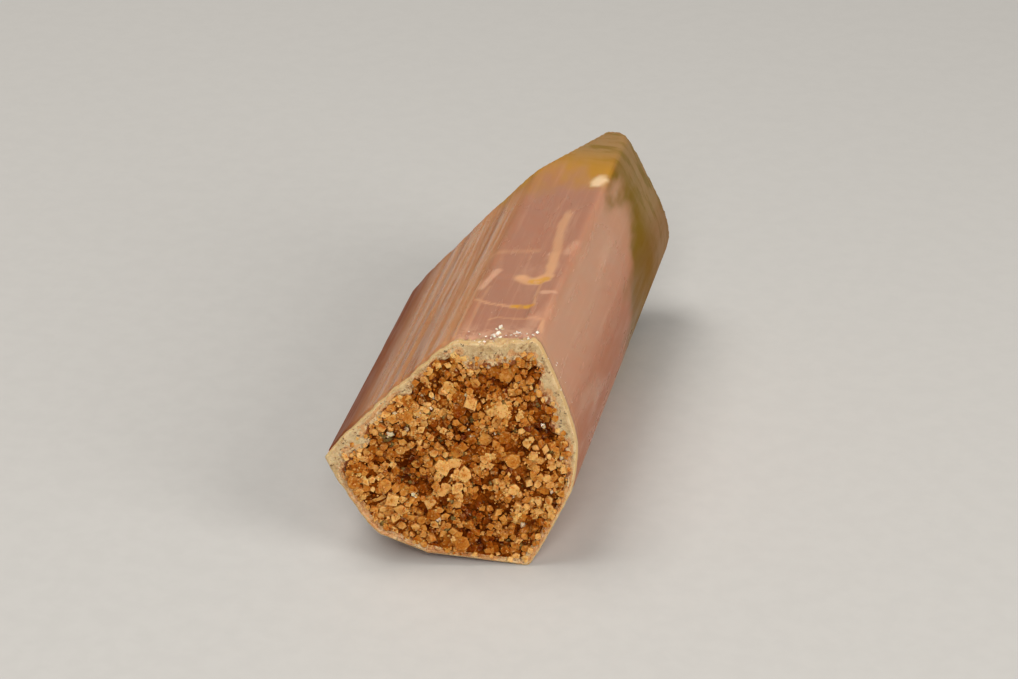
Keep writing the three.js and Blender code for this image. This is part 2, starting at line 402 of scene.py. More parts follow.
@dataclass(frozen=True)
class LineMark:
    """A coloured line on the top face, along a path of places (x, y). Most are stains; a few are painted
    highlights and a painted glint.
    """

    name: str
    channel: int
    path: tuple[Pair, ...]
    width: float
    strength: float
    ragged: Waves = Waves(0.35, 2.2, 1.6, 90)
    core: float = 0.45
    fringe: float = 1.15

    def mask(self, x: float, y: float) -> float:
        """How strong the line is at a place, from 0 to 1.

        Args:
            x: the place across the section.
            y: the place along the axis.

        Returns:
            The strength.
        """
        place = Vector((x, y))
        nearest = min(self._distance(place, Vector(a), Vector(b)) for a, b in zip(self.path, self.path[1:]))
        width = self.width * (1.0 + self.ragged.at(x, y, self.channel))
        return self.strength * (1.0 - ease(width * self.core, width * self.fringe, nearest))

    @staticmethod
    def _distance(place: Vector, start: Vector, end: Vector) -> float:
        """The distance from a place to the line between two others."""
        run = end - start
        share = clamp((place - start).dot(run) / run.length_squared)
        return (place - start - run * share).length


LINE_MARKS = (
    LineMark("seam", 0, ((2.88, 9.0), (2.74, 11.7), (2.54, 13.0), (2.42, 14.1), (2.46, 15.8)), 0.27, 0.62),
    LineMark("seam's foot", 0, ((2.86, 8.6), (2.84, 9.6), (2.76, 11.3)), 0.3, 0.8),
    LineMark("hook", 1, ((2.85, 8.7), (2.55, 8.4), (2.2, 8.3)), 0.24, 0.75),
    LineMark("hook's glow", 0, ((2.9, 9.0), (2.5, 8.35), (2.0, 8.25), (1.6, 8.55)), 0.38, 0.9),
    LineMark("second mark", 1, ((2.72, 5.95), (2.4, 5.78), (1.8, 5.75)), 0.17, 0.95),
    LineMark("second mark's tail", 0, ((1.9, 5.72), (0.7, 5.8), (-0.2, 6.1)), 0.1, 0.6),
    LineMark("riser", 0, ((2.76, 6.1), (2.68, 7.2), (2.7, 8.3)), 0.1, 0.5),
    LineMark("cross line", 0, ((-0.9, 10.6), (0.3, 11.2), (1.8, 11.5)), 0.16, 0.35),
    LineMark(
        "notch line", 0,
        ((0.95, 4.3), (1.3, 4.6), (2.2, 4.6), (3.1, 4.8), (3.55, 4.7), (3.7, 3.6)), 0.09, 0.4,
    ),
    LineMark("inner ridge", 0, ((0.16, 2.2), (0.15, 4.0), (0.12, 5.9), (0.26, 7.5)), 0.09, 0.3),
    LineMark("shoulder ridge", 0, ((-0.33, 2.0), (-0.36, 4.0), (-0.42, 6.0), (-0.36, 8.1)), 0.1, 0.5),
    # Painted highlight: a pale line by the left shoulder.
    LineMark("pale streak", 2, ((-0.15, 7.3), (0.05, 8.2), (0.3, 9.1)), 0.22, 1.0),
    # Painted highlight: a pale mark by the right shoulder.
    LineMark("pale fleck", 2, ((3.0, 7.3), (3.5, 7.5)), 0.2, 1.0),
    LineMark("pale corner", 2, ((3.3, 11.6), (3.5, 12.8)), 0.26, 0.5),
    # Painted glint: a pale spot on the right shoulder near the grown end.
    LineMark("pale chip", 2, ((3.2, 19.4), (3.35, 20.0)), 0.42, 1.0),
)


@dataclass(frozen=True)
class Surface:
    """The crystal's outer skin: where it lies, and what pattern belongs at each place on it."""

    fracture: Break = Break()
    plate_shoulder: float = 0.08
    plate_riser: float = 0.2
    west_wander: Waves = Waves(0.1, 0.45, 0.0, 30)
    east_wander: Waves = Waves(0.12, 0.5, 0.0, 40)
    end_wander: Waves = Waves(0.28, 1.1, 0.0, 50)
    wide_grooves: Waves = Waves(0.62, 1 / 1.05, 1 / 21.0, 1)
    grooves: Waves = Waves(1.0, 1 / 0.5, 1 / 13.0, 2)
    narrow_grooves: Waves = Waves(1.0, 1 / 0.24, 1 / 7.0, 3)
    groove_middle: float = 0.55
    # How much of the middling grooves the smooth sides and the stepped sides show.
    groove_shares: Pair = (0.1, 0.42)
    narrow_share: float = 0.16
    groove_steps: int = 5
    groove_riser: float = 0.3
    # The shallow collar just behind the break, which is fainter on the top and smooth faces.
    collar: float = 0.09
    collar_reach: Pair = (0.26, 0.62)
    collar_soft: float = 0.1
    top_collar: float = 0.25
    smooth_collar: float = 0.2
    swell: float = 0.03
    swells: Waves = Waves(1.0, 1 / 2.4, 1 / 6.0, 5)
    ring_height: float = 0.008
    ring_pitch: float = 26.0
    ring_fade: Pair = (0.5, 1.3)
    nick: float = 0.12
    nick_fade: Pair = (0.35, 1.15)
    nick_edge: Pair = (0.12, 0.3)
    nicks: Waves = Waves(1.0, 3.4, 3.1, 6)
    small_nicks: Waves = Waves(0.5, 8.0, 7.0, 7)
    chip_inset: float = 0.006
    chip_waves: Waves = Waves(0.35, 1.7, 1.9, 8)

    @property
    def section(self) -> Section:
        """The section that the break cuts."""
        return self.fracture.section

    def plate_drop(self, x: float, y: float) -> float:
        """How far the top face has stepped down at a place, in millimetres.

        Args:
            x: the place across the section.
            y: the place along the axis.

        Returns:
            The drop.
        """
        drop = 0.0
        for number, plate in enumerate(GROWTH_PLATES):
            west = plate.west + self.west_wander.at(y, variant=number)
            east = plate.east + self.east_wander.at(y, variant=number)
            end = plate.end + self.end_wander.at(x, variant=number)
            beyond = ease(end - self.plate_riser, end + self.plate_riser, y)
            drop = max(drop, plate.drop * (band(west, east, self.plate_shoulder, x) * (1.0 - beyond)))
        return drop

    def groove_level(self, station: Station, y: float) -> float:
        """How high the grooved surface stands at a place, from 0 in a groove to 1 on a ridge.

        Args:
            station: the place on the outline.
            y: the place along the axis.

        Returns:
            The level.
        """
        around, stepped = station.around, station.sides[Flank.STEPPED.value]
        level = self.groove_middle + self.wide_grooves.at(around, y)
        level += blend(*self.groove_shares, stepped) * self.grooves.at(around, y)
        level += self.narrow_share * stepped * self.narrow_grooves.at(around, y)
        return blend(clamp(level), terraced(level, self.groove_steps, self.groove_riser), stepped)

    def depth(self, station: Station, y: float, behind: float) -> float:
        """How far the skin lies inside the section's outline.

        Args:
            station: the place on the outline.
            y: the place along the axis.
            behind: how far the place lies behind the break, along the axis.

        Returns:
            The depth in millimetres.
        """
        stepped, top, smooth = station.sides
        grooves = station.relief * (1.0 - self.groove_level(station, y))
        collar = self.collar * (stepped + self.top_collar * top + self.smooth_collar * smooth)
        collar *= band(*self.collar_reach, self.collar_soft, behind)
        plates = top * self.plate_drop(station.x, y)
        nicks = self.nick_depth(station.x, y, behind) * top
        swell = self.swell * smooth * (1.0 + self.swells.at(station.around, y)) / 2.0
        rings = self.ring_height * smooth * (1.0 + math.sin(behind * self.ring_pitch))
        return grooves + collar + plates + nicks + swell + rings * (1.0 - ease(*self.ring_fade, behind))

    def nick_depth(self, x: float, y: float, behind: float) -> float:
        """The depth of the small chips in the top face just behind the break."""
        rough = self.nicks.at(x, y) + self.small_nicks.at(x, y)
        return self.nick * (1.0 - ease(*self.nick_fade, behind)) * ease(*self.nick_edge, rough)

    def place(self, station: Station, behind: float) -> Vector:
        """The point of the skin at a station, a distance behind the break along the axis.

        Args:
            station: the place on the outline.
            behind: how far the point lies behind the break.

        Returns:
            The point.
        """
        level = self.fracture.height(station.x, station.z) + behind
        depth = self.depth(station, level, behind)
        x = station.x + station.inward[0] * depth
        z = station.z + station.inward[1] * depth
        return self.chipped(Vector((x, self.fracture.height(x, z) + behind, z)), behind)

    def chipped(self, point: Vector, behind: float) -> Vector:
        """Draws a point that lies outside a chip's plane in towards the section's middle.

        Args:
            point: the point.
            behind: how far it lies behind the break.

        Returns:
            The point, moved if it has to be.
        """
        middle = self.fracture.middle(behind)
        for base, normal in self.fracture.chips():
            past = (point - base).dot(normal)
            if past > 0.0:
                inset = self.chip_inset * (1.0 + self.chip_waves.at(point.x, point.y))
                point = point.lerp(middle, past / (point - middle).dot(normal) + inset)
        return point


@dataclass
class Compass:
    """Finds the station of the outline that a point lies nearest to, by its direction."""

    section: Section

    def __post_init__(self) -> None:
        """Sorts the stations by their direction from the section's middle."""
        direction = self.section.direction
        self._stations = sorted(self.section.stations(), key=lambda station: direction(station.x, station.z))
        self._directions = [direction(station.x, station.z) for station in self._stations]

    def station(self, x: float, z: float) -> Station:
        """The station in the direction of a place."""
        place = bisect_right(self._directions, self.section.direction(x, z))
        return self._stations[place % len(self._stations)]


class GrainKind(Enum):
    """The kinds of grain: their colour, if the stain doesn't set it, and how matt they are. The painted
    glint's near-white is a painted highlight, and the glassy grains are pale partly as painted sparkle.
    """

    STAINED = (None, 0.8)
    MOSSY = (linear(120, 102, 56), 0.4)
    # Glassy grains: pale partly in their own colour and partly as painted sparkle.
    GLASSY = (linear(240, 216, 178), 0.0)
    # Painted glints: the near-white of the rim's grains and the glint chips stands for the glints that they
    # catch.
    ICY = (linear(250, 242, 228), 0.0)
    SOOTY = (linear(14, 10, 7), 0.5)


@dataclass(frozen=True)
class Ramp:
    """The colours of stained grains, from the darkest to the palest."""

    shades: tuple[Colour, ...] = (
        linear(68, 16, 0),
        linear(114, 42, 0),
        linear(150, 78, 5),
        linear(180, 108, 30),
        linear(208, 144, 66),
        linear(240, 194, 122),
    )

    def colour(self, tone: float) -> Triple:
        """The colour at a tone from 0, the darkest, to 1, the palest.

        Args:
            tone: the tone.

        Returns:
            The red, green and blue.
        """
        place = clamp(tone) * (len(self.shades) - 1)
        first = min(int(place), len(self.shades) - 2)
        dark, pale = self.shades[first], self.shades[first + 1]
        return tuple(blend(dark[i], pale[i], place - first) for i in range(3))


# Where a patch starts to fade and where it ends, in its own radii.
PATCH_CORE, PATCH_FRINGE = 0.4, 1.25


@dataclass(frozen=True)
class Patch:
    """A part of the crust that is paler or darker, stands up or sinks, or holds one kind of grain."""

    name: str
    x: float
    z: float
    radius: float
    tone: float = 0.0
    rise: float = 0.0
    kind: GrainKind = GrainKind.STAINED
    strength: float = 0.0

    def nearness(self, x: float, z: float) -> float:
        """1 in the patch's middle, falling to 0 a little outside its radius."""
        away = math.hypot(x - self.x, z - self.z)
        return 1.0 - ease(PATCH_CORE * self.radius, PATCH_FRINGE * self.radius, away)


PATCHES = (
    # Rust with painted shadow under the top lip: these two hollows are darkened.
    Patch("rusty hollow", 2.1, 9.45, 0.9, -0.24, -0.26),
    Patch("rusty hollow's side", 1.2, 9.1, 0.5, -0.2, -0.14),
    Patch("right hollow", 4.3, 6.9, 0.75, -0.42, -0.28),
    Patch("middle pit", 0.6, 7.4, 0.5, -0.45, -0.3),
    Patch("grey band", 1.5, 6.45, 0.5, -0.1, -0.16, GrainKind.MOSSY, 5.0),
    Patch("grey band's end", 2.5, 6.5, 0.5, -0.14, -0.16, GrainKind.MOSSY, 5.0),
    Patch("grey line", 0.2, 5.3, 0.5, -0.1, -0.16, GrainKind.MOSSY, 4.0),
    Patch("grey hollow", -3.0, 6.1, 0.7, -0.12, -0.16, GrainKind.MOSSY, 5.0),
    Patch("low grey hollow", -2.3, 4.6, 0.6, -0.14, -0.14, GrainKind.MOSSY, 2.5),
    # Partly painted sparkle: a heap of pale glassy grains.
    Patch("glassy heap", -1.2, 8.0, 0.7, 0.34, 0.08, GrainKind.GLASSY, 0.16),
    Patch("pale mass", -0.1, 4.3, 1.05, 0.32, 0.14),
    Patch("pale plate", 2.3, 7.3, 0.7, 0.16, 0.1),
    Patch("upper plate", 1.0, 8.4, 0.6, 0.1, 0.1),
    Patch("left plate", -2.6, 7.6, 0.6, 0.18, 0.1),
    Patch("left pit", -1.9, 5.3, 0.5, -0.4, -0.26),
    Patch("low pit", -1.2, 4.0, 0.5, -0.42, -0.26),
    Patch("sooty grain", 2.05, 4.46, 0.16, 0.0, -0.05, GrainKind.SOOTY, 40.0),
    Patch("lower hollow", 1.1, 2.8, 0.7, -0.38, -0.22),
    Patch("mossy foot", -0.3, 1.4, 0.6, -0.1, -0.08, GrainKind.MOSSY, 3.0),
    Patch("dark foot", 1.6, 0.9, 0.9, -0.26, -0.12),
    Patch("dark corner", 3.8, 1.9, 0.6, -0.3, -0.16),
    Patch("orange corner", -4.4, 4.5, 1.2, 0.16, 0.14),
    Patch("orange slope", -3.1, 3.1, 1.2, 0.26, 0.1),
    Patch("cream facet", 0.9, 10.0, 0.8, 0.34, 0.06),
    Patch("cream side", 4.9, 4.6, 1.0, 0.1, 0.0),
    Patch("pale right", 4.3, 5.6, 0.7, 0.26, 0.08),
    Patch("right slope", 3.2, 3.4, 1.0, 0.2, 0.04),
    Patch("rusty middle", 0.7, 5.6, 0.9, -0.12, -0.04),
    Patch("bright grain", -1.78, 3.57, 0.16, 0.2, 0.06, GrainKind.GLASSY, 40.0),
    Patch("left bright grain", -3.0, 6.46, 0.18, 0.2, 0.06, GrainKind.GLASSY, 40.0),
)


@dataclass(frozen=True)
class CrustMap:
    """What the crust is like from place to place in the break."""

    ramp: Ramp = Ramp()
    tone: float = 0.68
    broad_tones: Waves = even(0.2, 1.3, 31)
    small_tones: Waves = even(0.12, 3.1, 32)
    spread: float = 0.15
    mossy: float = 0.1
    mossy_channels: float = 0.25
    mossy_fineness: float = 3.0
    # The share of glassy grains among the finest, pale partly as painted sparkle.
    glassy: float = 0.1
    sooty: float = 0.006
    windings: Waves = even(1.0, 0.85, 36)
    small_windings: Waves = even(0.4, 2.4, 37)
    # How far from the middle of a channel its slopes start and end, on the scale of the windings.
    channel_slope: Pair = (0.03, 0.16)
    channel_depth: float = 0.27
    channel_stain: float = 0.36
    # A patch that rises by more than this has grown together.
    fused_rise: float = 0.09
    fusing: Waves = even(1.5, 0.8, 38)
    hummocks: Waves = even(0.09, 1.1, 33)
    hills: Waves = even(0.05, 0.5, 34)

    def channel(self, x: float, z: float) -> float:
        """1 in the winding channels between clumps of grains, and 0 on the clumps."""
        return 1.0 - ease(*self.channel_slope, abs(self.windings.at(x, z) + self.small_windings.at(x, z)))

    def fused(self, x: float, z: float) -> float:
        """How far the grains have grown together at a place: above 0.5, into broad plates."""
        raised = max(patch.nearness(x, z) for patch in PATCHES if patch.rise > self.fused_rise)
        return clamp(max(raised, self.fusing.at(x, z)))

    def rise(self, x: float, z: float) -> float:
        """How far the crust stands up or sinks at a place."""
        rise = self.hummocks.at(x, z) + self.hills.at(x, z) - self.channel_depth * self.channel(x, z)
        return rise + sum(patch.rise * patch.nearness(x, z) for patch in PATCHES)

    def shade(self, x: float, z: float) -> float:
        """The usual tone of the stained grains at a place."""
        shade = self.tone + self.broad_tones.at(x, z) + self.small_tones.at(x, z)
        shade -= self.channel_stain * self.channel(x, z)
        return shade + sum(patch.tone * patch.nearness(x, z) for patch in PATCHES)

    def kind(self, x: float, z: float, fine: float, chance: random.Random) -> GrainKind:
        """Draws a kind of grain for a place.

        Args:
            x: the place across the section.
            z: the place's height.
            fine: from 0 for the coarse grains, which are never mossy, to 1 for the finest.
            chance: the random numbers.

        Returns:
            The kind.
        """
        weights = {
            GrainKind.STAINED: 1.0,
            GrainKind.MOSSY: self.mossy + self.mossy_channels * self.channel(x, z),
            GrainKind.GLASSY: self.glassy * fine,
            GrainKind.SOOTY: self.sooty * fine,
        }
        for patch in PATCHES:
            weights[patch.kind] += patch.strength * patch.nearness(x, z)
        weights[GrainKind.MOSSY] *= clamp(self.mossy_fineness * fine)
        return chance.choices(list(weights), list(weights.values()))[0]


# ---- Nodes ----


@dataclass(frozen=True, eq=False)
class Wire:
    """An output of a node. Sums with it add the nodes that work them out."""

    bench: "Bench"
    socket: bpy.types.NodeSocket

    def __add__(self, other: Any) -> "Wire":
        """This and the other."""
        return self.bench.maths("ADD", self, other)

    def __sub__(self, other: Any) -> "Wire":
        """This less the other."""
        return self.bench.maths("SUBTRACT", self, other)

    def __mul__(self, other: Any) -> "Wire":
        """This times the other."""
        return self.bench.maths("MULTIPLY", self, other)

    def fade(self, start: float, end: float, low: float = 0.0, high: float = 1.0) -> "Wire":
        """A smooth climb from low, where this is at start, to high, where it is at end."""
        inputs = {"Value": self, "From Min": start, "From Max": end, "To Min": low, "To Max": high}
        return self.bench.add("ShaderNodeMapRange", inputs, interpolation_type="SMOOTHSTEP")

    def stretched(self, *scale: float) -> "Wire":
        """This vector, with each axis scaled by its own amount."""
        return self.bench.add("ShaderNodeMapping", {"Vector": self, "Scale": scale})

    def axes(self) -> list["Wire"]:
        """The X, Y and Z of this vector."""
        return self.bench.outputs("ShaderNodeSeparateXYZ", {0: self})

    def channels(self) -> list["Wire"]:
        """The red, green and blue of this colour."""
        return self.bench.outputs("ShaderNodeSeparateColor", {0: self})


@dataclass(frozen=True)
class Bench:
    """A node tree, with short calls that add nodes and join them."""

    tree: bpy.types.NodeTree

    def node(self, kind: str, inputs: dict[Any, Any], **settings: Any) -> bpy.types.Node:
        """Adds a node of a kind, with its inputs and its other settings.

        Args:
            kind: the node's type.
            inputs: for each input, by name or number, its value or the wire that feeds it.
            settings: its other settings, by name.

        Returns:
            The node.
        """
        node = self.tree.nodes.new(kind)
        for name, value in settings.items():
            setattr(node, name, value)
        for name, value in inputs.items():
            if isinstance(value, Wire):
                self.tree.links.new(value.socket, node.inputs[name])
            else:
                node.inputs[name].default_value = value
        return node

    def outputs(self, kind: str, inputs: dict[Any, Any], **settings: Any) -> list[Wire]:
        """Adds a node and gives its outputs."""
        return [Wire(self, socket) for socket in self.node(kind, inputs, **settings).outputs]

    def add(self, kind: str, inputs: dict[Any, Any], output: int | str = 0, **settings: Any) -> Wire:
        """Adds a node and gives one of its outputs."""
        return Wire(self, self.node(kind, inputs, **settings).outputs[output])

    def maths(self, operation: str, first: Any, second: Any = 0.0, clamped: bool = False) -> Wire:
        """One step of arithmetic on two values."""
        return self.add("ShaderNodeMath", {0: first, 1: second}, operation=operation, use_clamp=clamped)

    def attribute(self, name: str, output: str = "Color") -> Wire:
        """An attribute of the mesh."""
        return self.add("ShaderNodeAttribute", {}, output, attribute_name=name)

    def millimetres(self) -> Wire:
        """The place on the piece, in millimetres."""
        return self.add("ShaderNodeTexCoord", {}, "Object").stretched(1 / MM, 1 / MM, 1 / MM)

    def mix(self, share: Any, first: Any, second: Any, way: str = "MIX") -> Wire:
        """Two colours, mixed: the first where the share is 0, and the second where it is 1."""
        inputs = {0: share, 6: first, 7: second}
        return self.add("ShaderNodeMix", inputs, 2, data_type="RGBA", blend_type=way)

    def grain(self, place: Wire, scale: Any, detail: float = 2.0, roughness: float = 0.5) -> Wire:
        """Noise from 0 to 1."""
        inputs = {"Vector": place, "Scale": scale, "Detail": detail, "Roughness": roughness}
        return self.add("ShaderNodeTexNoise", inputs)

    def bump(self, height: Wire, distance: float, strength: float) -> Wire:
        """The normal of a surface with this relief, whose depth is a distance in millimetres."""
        inputs = {"Height": height, "Distance": distance * MM, "Strength": strength}
        return self.add("ShaderNodeBump", inputs)


@dataclass(frozen=True)
class Effect:
    """A shader node group that several finishes use.

    Its inputs are the values that they start with, and its outputs are sample values of their types.
    """

    name: str
    inputs: dict[str, Any]
    outputs: dict[str, Any]
    wire: Callable[..., list[Wire]]

    def on(self, bench: Bench, **inputs: Any) -> list[Wire]:
        """Places the group in a tree with its own inputs, and gives its outputs."""
        tree = bpy.data.node_groups.get(self.name) or self._new_tree()
        return bench.outputs("ShaderNodeGroup", inputs, node_tree=tree)

    def _new_tree(self) -> bpy.types.NodeTree:
        """Builds the group's tree.

        Returns:
            The tree.
        """
        tree = bpy.data.node_groups.new(self.name, "ShaderNodeTree")
        for name, value in self.inputs.items():
            socket = tree.interface.new_socket(name, in_out="INPUT", socket_type=self._type(value))
            socket.default_value = value
        for name, value in self.outputs.items():
            tree.interface.new_socket(name, in_out="OUTPUT", socket_type=self._type(value))
        bench = Bench(tree)
        given = bench.outputs("NodeGroupInput", {})[:len(self.inputs)]
        bench.node("NodeGroupOutput", dict(enumerate(self.wire(bench, *given))))
        return tree

    @staticmethod
    def _type(value: Any) -> str:
        """The type of socket that holds a value."""
        if isinstance(value, float):
            return "NodeSocketFloat"
        return "NodeSocketVector" if len(value) == 3 else "NodeSocketColor"


def wire_mottle(bench: Bench, place: Wire, size: Wire, first: Wire, second: Wire,
                amount: Wire) -> list[Wire]:
    """Soft patches of a second colour over a first, in two sizes: the colours, mixed, and the mask.

    Args:
        bench: the tree's bench.
        place: the place on the piece.
        size: the size of the large patches, in millimetres.
        first: the colour under them.
        second: the patches' colour.
        amount: how strong they are.

    Returns:
        The mixed colour and the mask.
    """
    scale = bench.maths("DIVIDE", 1.0, size)
    large = bench.grain(place, scale, 3.0, 0.6)
    finer = bench.grain(place, scale * 3.7, 4.0, 0.65)
    mask = (large * 0.6 + finer * 0.4).fade(0.38, 0.62) * amount
    return [bench.mix(mask, first, second), mask]


def wire_specks(bench: Bench, place: Wire, size: Wire, share: Wire) -> list[Wire]:
    """Scattered small pits: round cells of which only a share is kept.

    Args:
        bench: the tree's bench.
        place: the place on the piece.
        size: the size of a cell, in millimetres.
        share: the share of cells that hold a pit.

    Returns:
        The mask.
    """
    scale = bench.maths("DIVIDE", 1.0, size)
    wander = bench.add("ShaderNodeTexNoise", {"Vector": place, "Scale": scale, "Detail": 2.0}, "Color")
    drift = bench.add("ShaderNodeVectorMath", {0: wander, "Scale": 0.35}, operation="SCALE")
    bent = bench.add("ShaderNodeVectorMath", {0: drift, 1: place}, operation="ADD")
    near, shade = bench.outputs("ShaderNodeTexVoronoi", {"Vector": bent, "Scale": scale})[:2]
    return [near.fade(0.42, 0.22) * bench.maths("LESS_THAN", shade.channels()[0], share)]


BLACK, WHITE = (0.0, 0.0, 0.0, 1.0), (1.0, 1.0, 1.0, 1.0)
ORIGIN = (0.0, 0.0, 0.0)

MOTTLE = Effect(
    "mottle",
    {"place": ORIGIN, "size": 1.0, "first": WHITE, "second": BLACK, "amount": 1.0},
    {"colour": WHITE, "mask": 0.0},
    wire_mottle,
)
SPECKS = Effect("specks", {"place": ORIGIN, "size": 0.1, "share": 0.3}, {"mask": 0.0}, wire_specks)


# ---- Finishes ----


@dataclass(frozen=True)
class Finish:
    """What every finish shares: a name, and a shader that its own inputs feed."""

    name: str

    def inputs(self, bench: Bench) -> dict[str, Any]:
        """The shader's inputs, each a value or the wire that feeds it.

        Args:
            bench: the tree's bench.

        Returns:
            The inputs, by name.
        """
        raise NotImplementedError

    def material(self) -> bpy.types.Material:
        """Builds the finish.

        Returns:
            The material.
        """
        material = bpy.data.materials.new(self.name)
        material.use_nodes = True
        material.node_tree.nodes.clear()
        bench = Bench(material.node_tree)
        surface = bench.add("ShaderNodeBsdfPrincipled", self.inputs(bench))
        bench.node("ShaderNodeOutputMaterial", {"Surface": surface})
        return material


@dataclass(frozen=True)
class Lie:
    """Where a point of the crystal's skin lies, as the wires of one material.

    They are its place in millimetres, its place round the outline and along the axis, its distance
    behind the break, and its shares of the stepped sides, the top face and the smooth side.
    """

    place: Wire
    around: Wire
    along: Wire
    behind: Wire
    stepped: Wire
    top: Wire
    smooth: Wire

    def streaks(self, fineness: float, drift: float) -> Wire:
        """Long streaks that run with the axis: noise that changes fast across them and slowly along."""
        spot = {0: self.around * fineness, 1: self.along * drift}
        bench = self.place.bench
        return bench.grain(bench.add("ShaderNodeCombineXYZ", spot), 1.0, 3.0, 0.6)


@dataclass(frozen=True)
class TourmalineFinish(Finish):
    """The prism: pink and cloudy, tan along the stepped side, gold and green towards the grown end."""

    name: str = "tourmaline"
    pink: Colour = linear(180, 117, 90)
    rose: Colour = linear(186, 108, 64)
    shell: Colour = linear(204, 156, 124)
    lilac: Colour = linear(172, 126, 104)
    tan: Colour = linear(208, 145, 92)
    brown: Colour = linear(134, 82, 54)
    # The umber of the painted shade on the far left and right flanks.
    umber: Colour = linear(116, 50, 6)
    milk: Colour = linear(212, 164, 134)
    straw: Colour = linear(208, 156, 108)
    seam: Colour = linear(224, 172, 128)
    amber: Colour = linear(208, 154, 60)
    gold: Colour = linear(184, 132, 48)
    olive: Colour = linear(124, 92, 0)
    khaki: Colour = linear(154, 122, 82)
    moss: Colour = linear(122, 98, 38)
    cream: Colour = linear(206, 172, 122)
    # The colour of the painted glint near the grown end.
    glint: Colour = linear(238, 208, 166)
    haze: float = 0.0009

    def inputs(self, bench: Bench) -> dict[str, Any]:
        """The shader's inputs."""
        lay = bench.attribute("lay", "Vector").axes()
        sides = bench.attribute("sides").channels()
        lie = Lie(bench.millimetres(), *lay, *sides)
        across = lie.place.axes()[0]
        # Painted shade: the far left and right flanks are darkened towards umber, as if turned from the
        # light; the same mask also roughens them.
        shaded_outer_flanks = across.fade(-3.6, -5.6, 0.0, 0.9) + across.fade(5.2, 5.95, 0.0, 0.3)
        colour = self._body(bench, lie)
        colour = self._streaked(bench, colour, lie)
        # Lays the painted shade of the outer flanks.
        colour = bench.mix(shaded_outer_flanks, self._cap(bench, colour, lie), self.umber)
        colour = self._marks_and_highlights(bench, colour, lie)
        colour = self._rim(bench, colour, lie)
        smear = bench.grain(lie.place.stretched(1.6, 0.3, 1.6), 1.0, 3.0)
        worn = lie.along.fade(15.0, 21.0, 0.0, 0.35) + shaded_outer_flanks * 0.35
        return {
            "Base Color": colour,
            "Roughness": smear.fade(0.3, 0.7, 0.12, 0.3) + worn,
            "Normal": self._relief(bench, lie),
            "IOR": 1.63,
            "Specular IOR Level": 0.07,
            "Subsurface Weight": 0.7,
            "Subsurface Radius": (1.0, 0.5, 0.34),
            "Subsurface Scale": self.haze,
            "Transmission Weight": 0.1,
        }

    def _body(self, bench: Bench, lie: Lie) -> Wire:
        """The cloudy pink of the prism, with the tan of its stepped sides.

        Args:
            bench: the tree's bench.
            lie: where the point lies.

        Returns:
            The colour.
        """
        clouds = MOTTLE.on(bench, place=lie.place, size=2.6, first=self.pink, second=self.lilac, amount=0.8)
        colour = bench.mix(lie.top * 0.65, clouds[0], self.lilac)
        flank = bench.mix(lie.place.axes()[2].fade(5.5, 10.5), self.rose, self.shell)
        colour = bench.mix(lie.smooth * 0.7, colour, flank)
        return bench.mix(lie.stepped * 0.75, colour, self.tan)

    def _streaked(self, bench: Bench, colour: Wire, lie: Lie) -> Wire:
        """Lays the brown streaks, with painted shade in the grooves, the straw and milky streaks and the
        milky veils over a colour.

        Args:
            bench: the tree's bench.
            colour: the colour under it.
            lie: where the point lies.

        Returns:
            The colour.
        """
        ridge = bench.attribute("ridge", "Fac")
        # Brown streaks, plus painted shade in the grooves: the colour darkens where the groove level is low.
        dark = lie.streaks(0.95, 0.07).fade(0.56, 0.36) * 0.26 + ridge.fade(0.55, 0.1, 0.0, 0.5)
        dark = dark * lie.stepped.fade(0.0, 1.0, 0.1, 0.8)
        colour = bench.mix(bench.maths("ADD", dark, clamped=True), colour, self.brown)
        pale = lie.streaks(3.2, 0.16).fade(0.5, 0.72) * lie.stepped.fade(0.0, 1.0, 0.25, 0.3)
        colour = bench.mix(pale, colour, bench.mix(lie.stepped, self.milk, self.straw))
        veils = bench.grain(lie.place.stretched(0.55, 0.16, 0.55), 1.0, 4.0, 0.6)
        return bench.mix(veils.fade(0.5, 0.75) * lie.stepped.fade(0.0, 1.0, 0.55, 0.4), colour, self.milk)

    def _cap(self, bench: Bench, colour: Wire, lie: Lie) -> Wire:
        """Lays the gold and green of the grown end over a colour.

        Args:
            bench: the tree's bench.
            colour: the colour under it.
            lie: where the point lies.

        Returns:
            The colour.
        """
        wander = bench.grain(lie.place.stretched(0.5, 0.2, 0.5), 1.0, 3.0)
        slant = lie.place.axes()[2].fade(10.5, 3.0, 0.0, 6.5) * lie.smooth.fade(0.0, 1.0, 0.35, 1.0)
        level = lie.along + wander.fade(0.3, 0.7, -1.6, 1.6) + slant
        green = bench.mix(wander.fade(0.42, 0.62), self.olive, self.gold)
        green = bench.mix(lie.smooth.fade(0.1, 0.8), green, self.olive)
        cap = bench.mix(lie.top.fade(0.2, 0.9), green, self.gold)
        zones = bench.grain(lie.place.stretched(0.35, 1.3, 0.35), 1.0, 4.0, 0.6)
        worn = bench.mix(zones.fade(0.46, 0.62, 0.0, 0.8), self.khaki, self.moss)
        cap = bench.mix(lie.along.fade(20.8, 24.0, 0.0, 0.9), cap, worn)
        return bench.mix(level.fade(17.8, 21.4), colour, cap)

    def _marks_and_highlights(self, bench: Bench, colour: Wire, lie: Lie) -> Wire:
        """Lays the straw, milky and amber lines of the top face over a colour; the milky ones include
        painted highlights and a painted glint.

        Args:
            bench: the tree's bench.
            colour: the colour under it.
            lie: where the point lies.

        Returns:
            The colour.
        """
        seam, amber, milk = bench.attribute("stains_and_highlights").channels()
        colour = bench.mix(seam * 0.85, colour, self.seam)
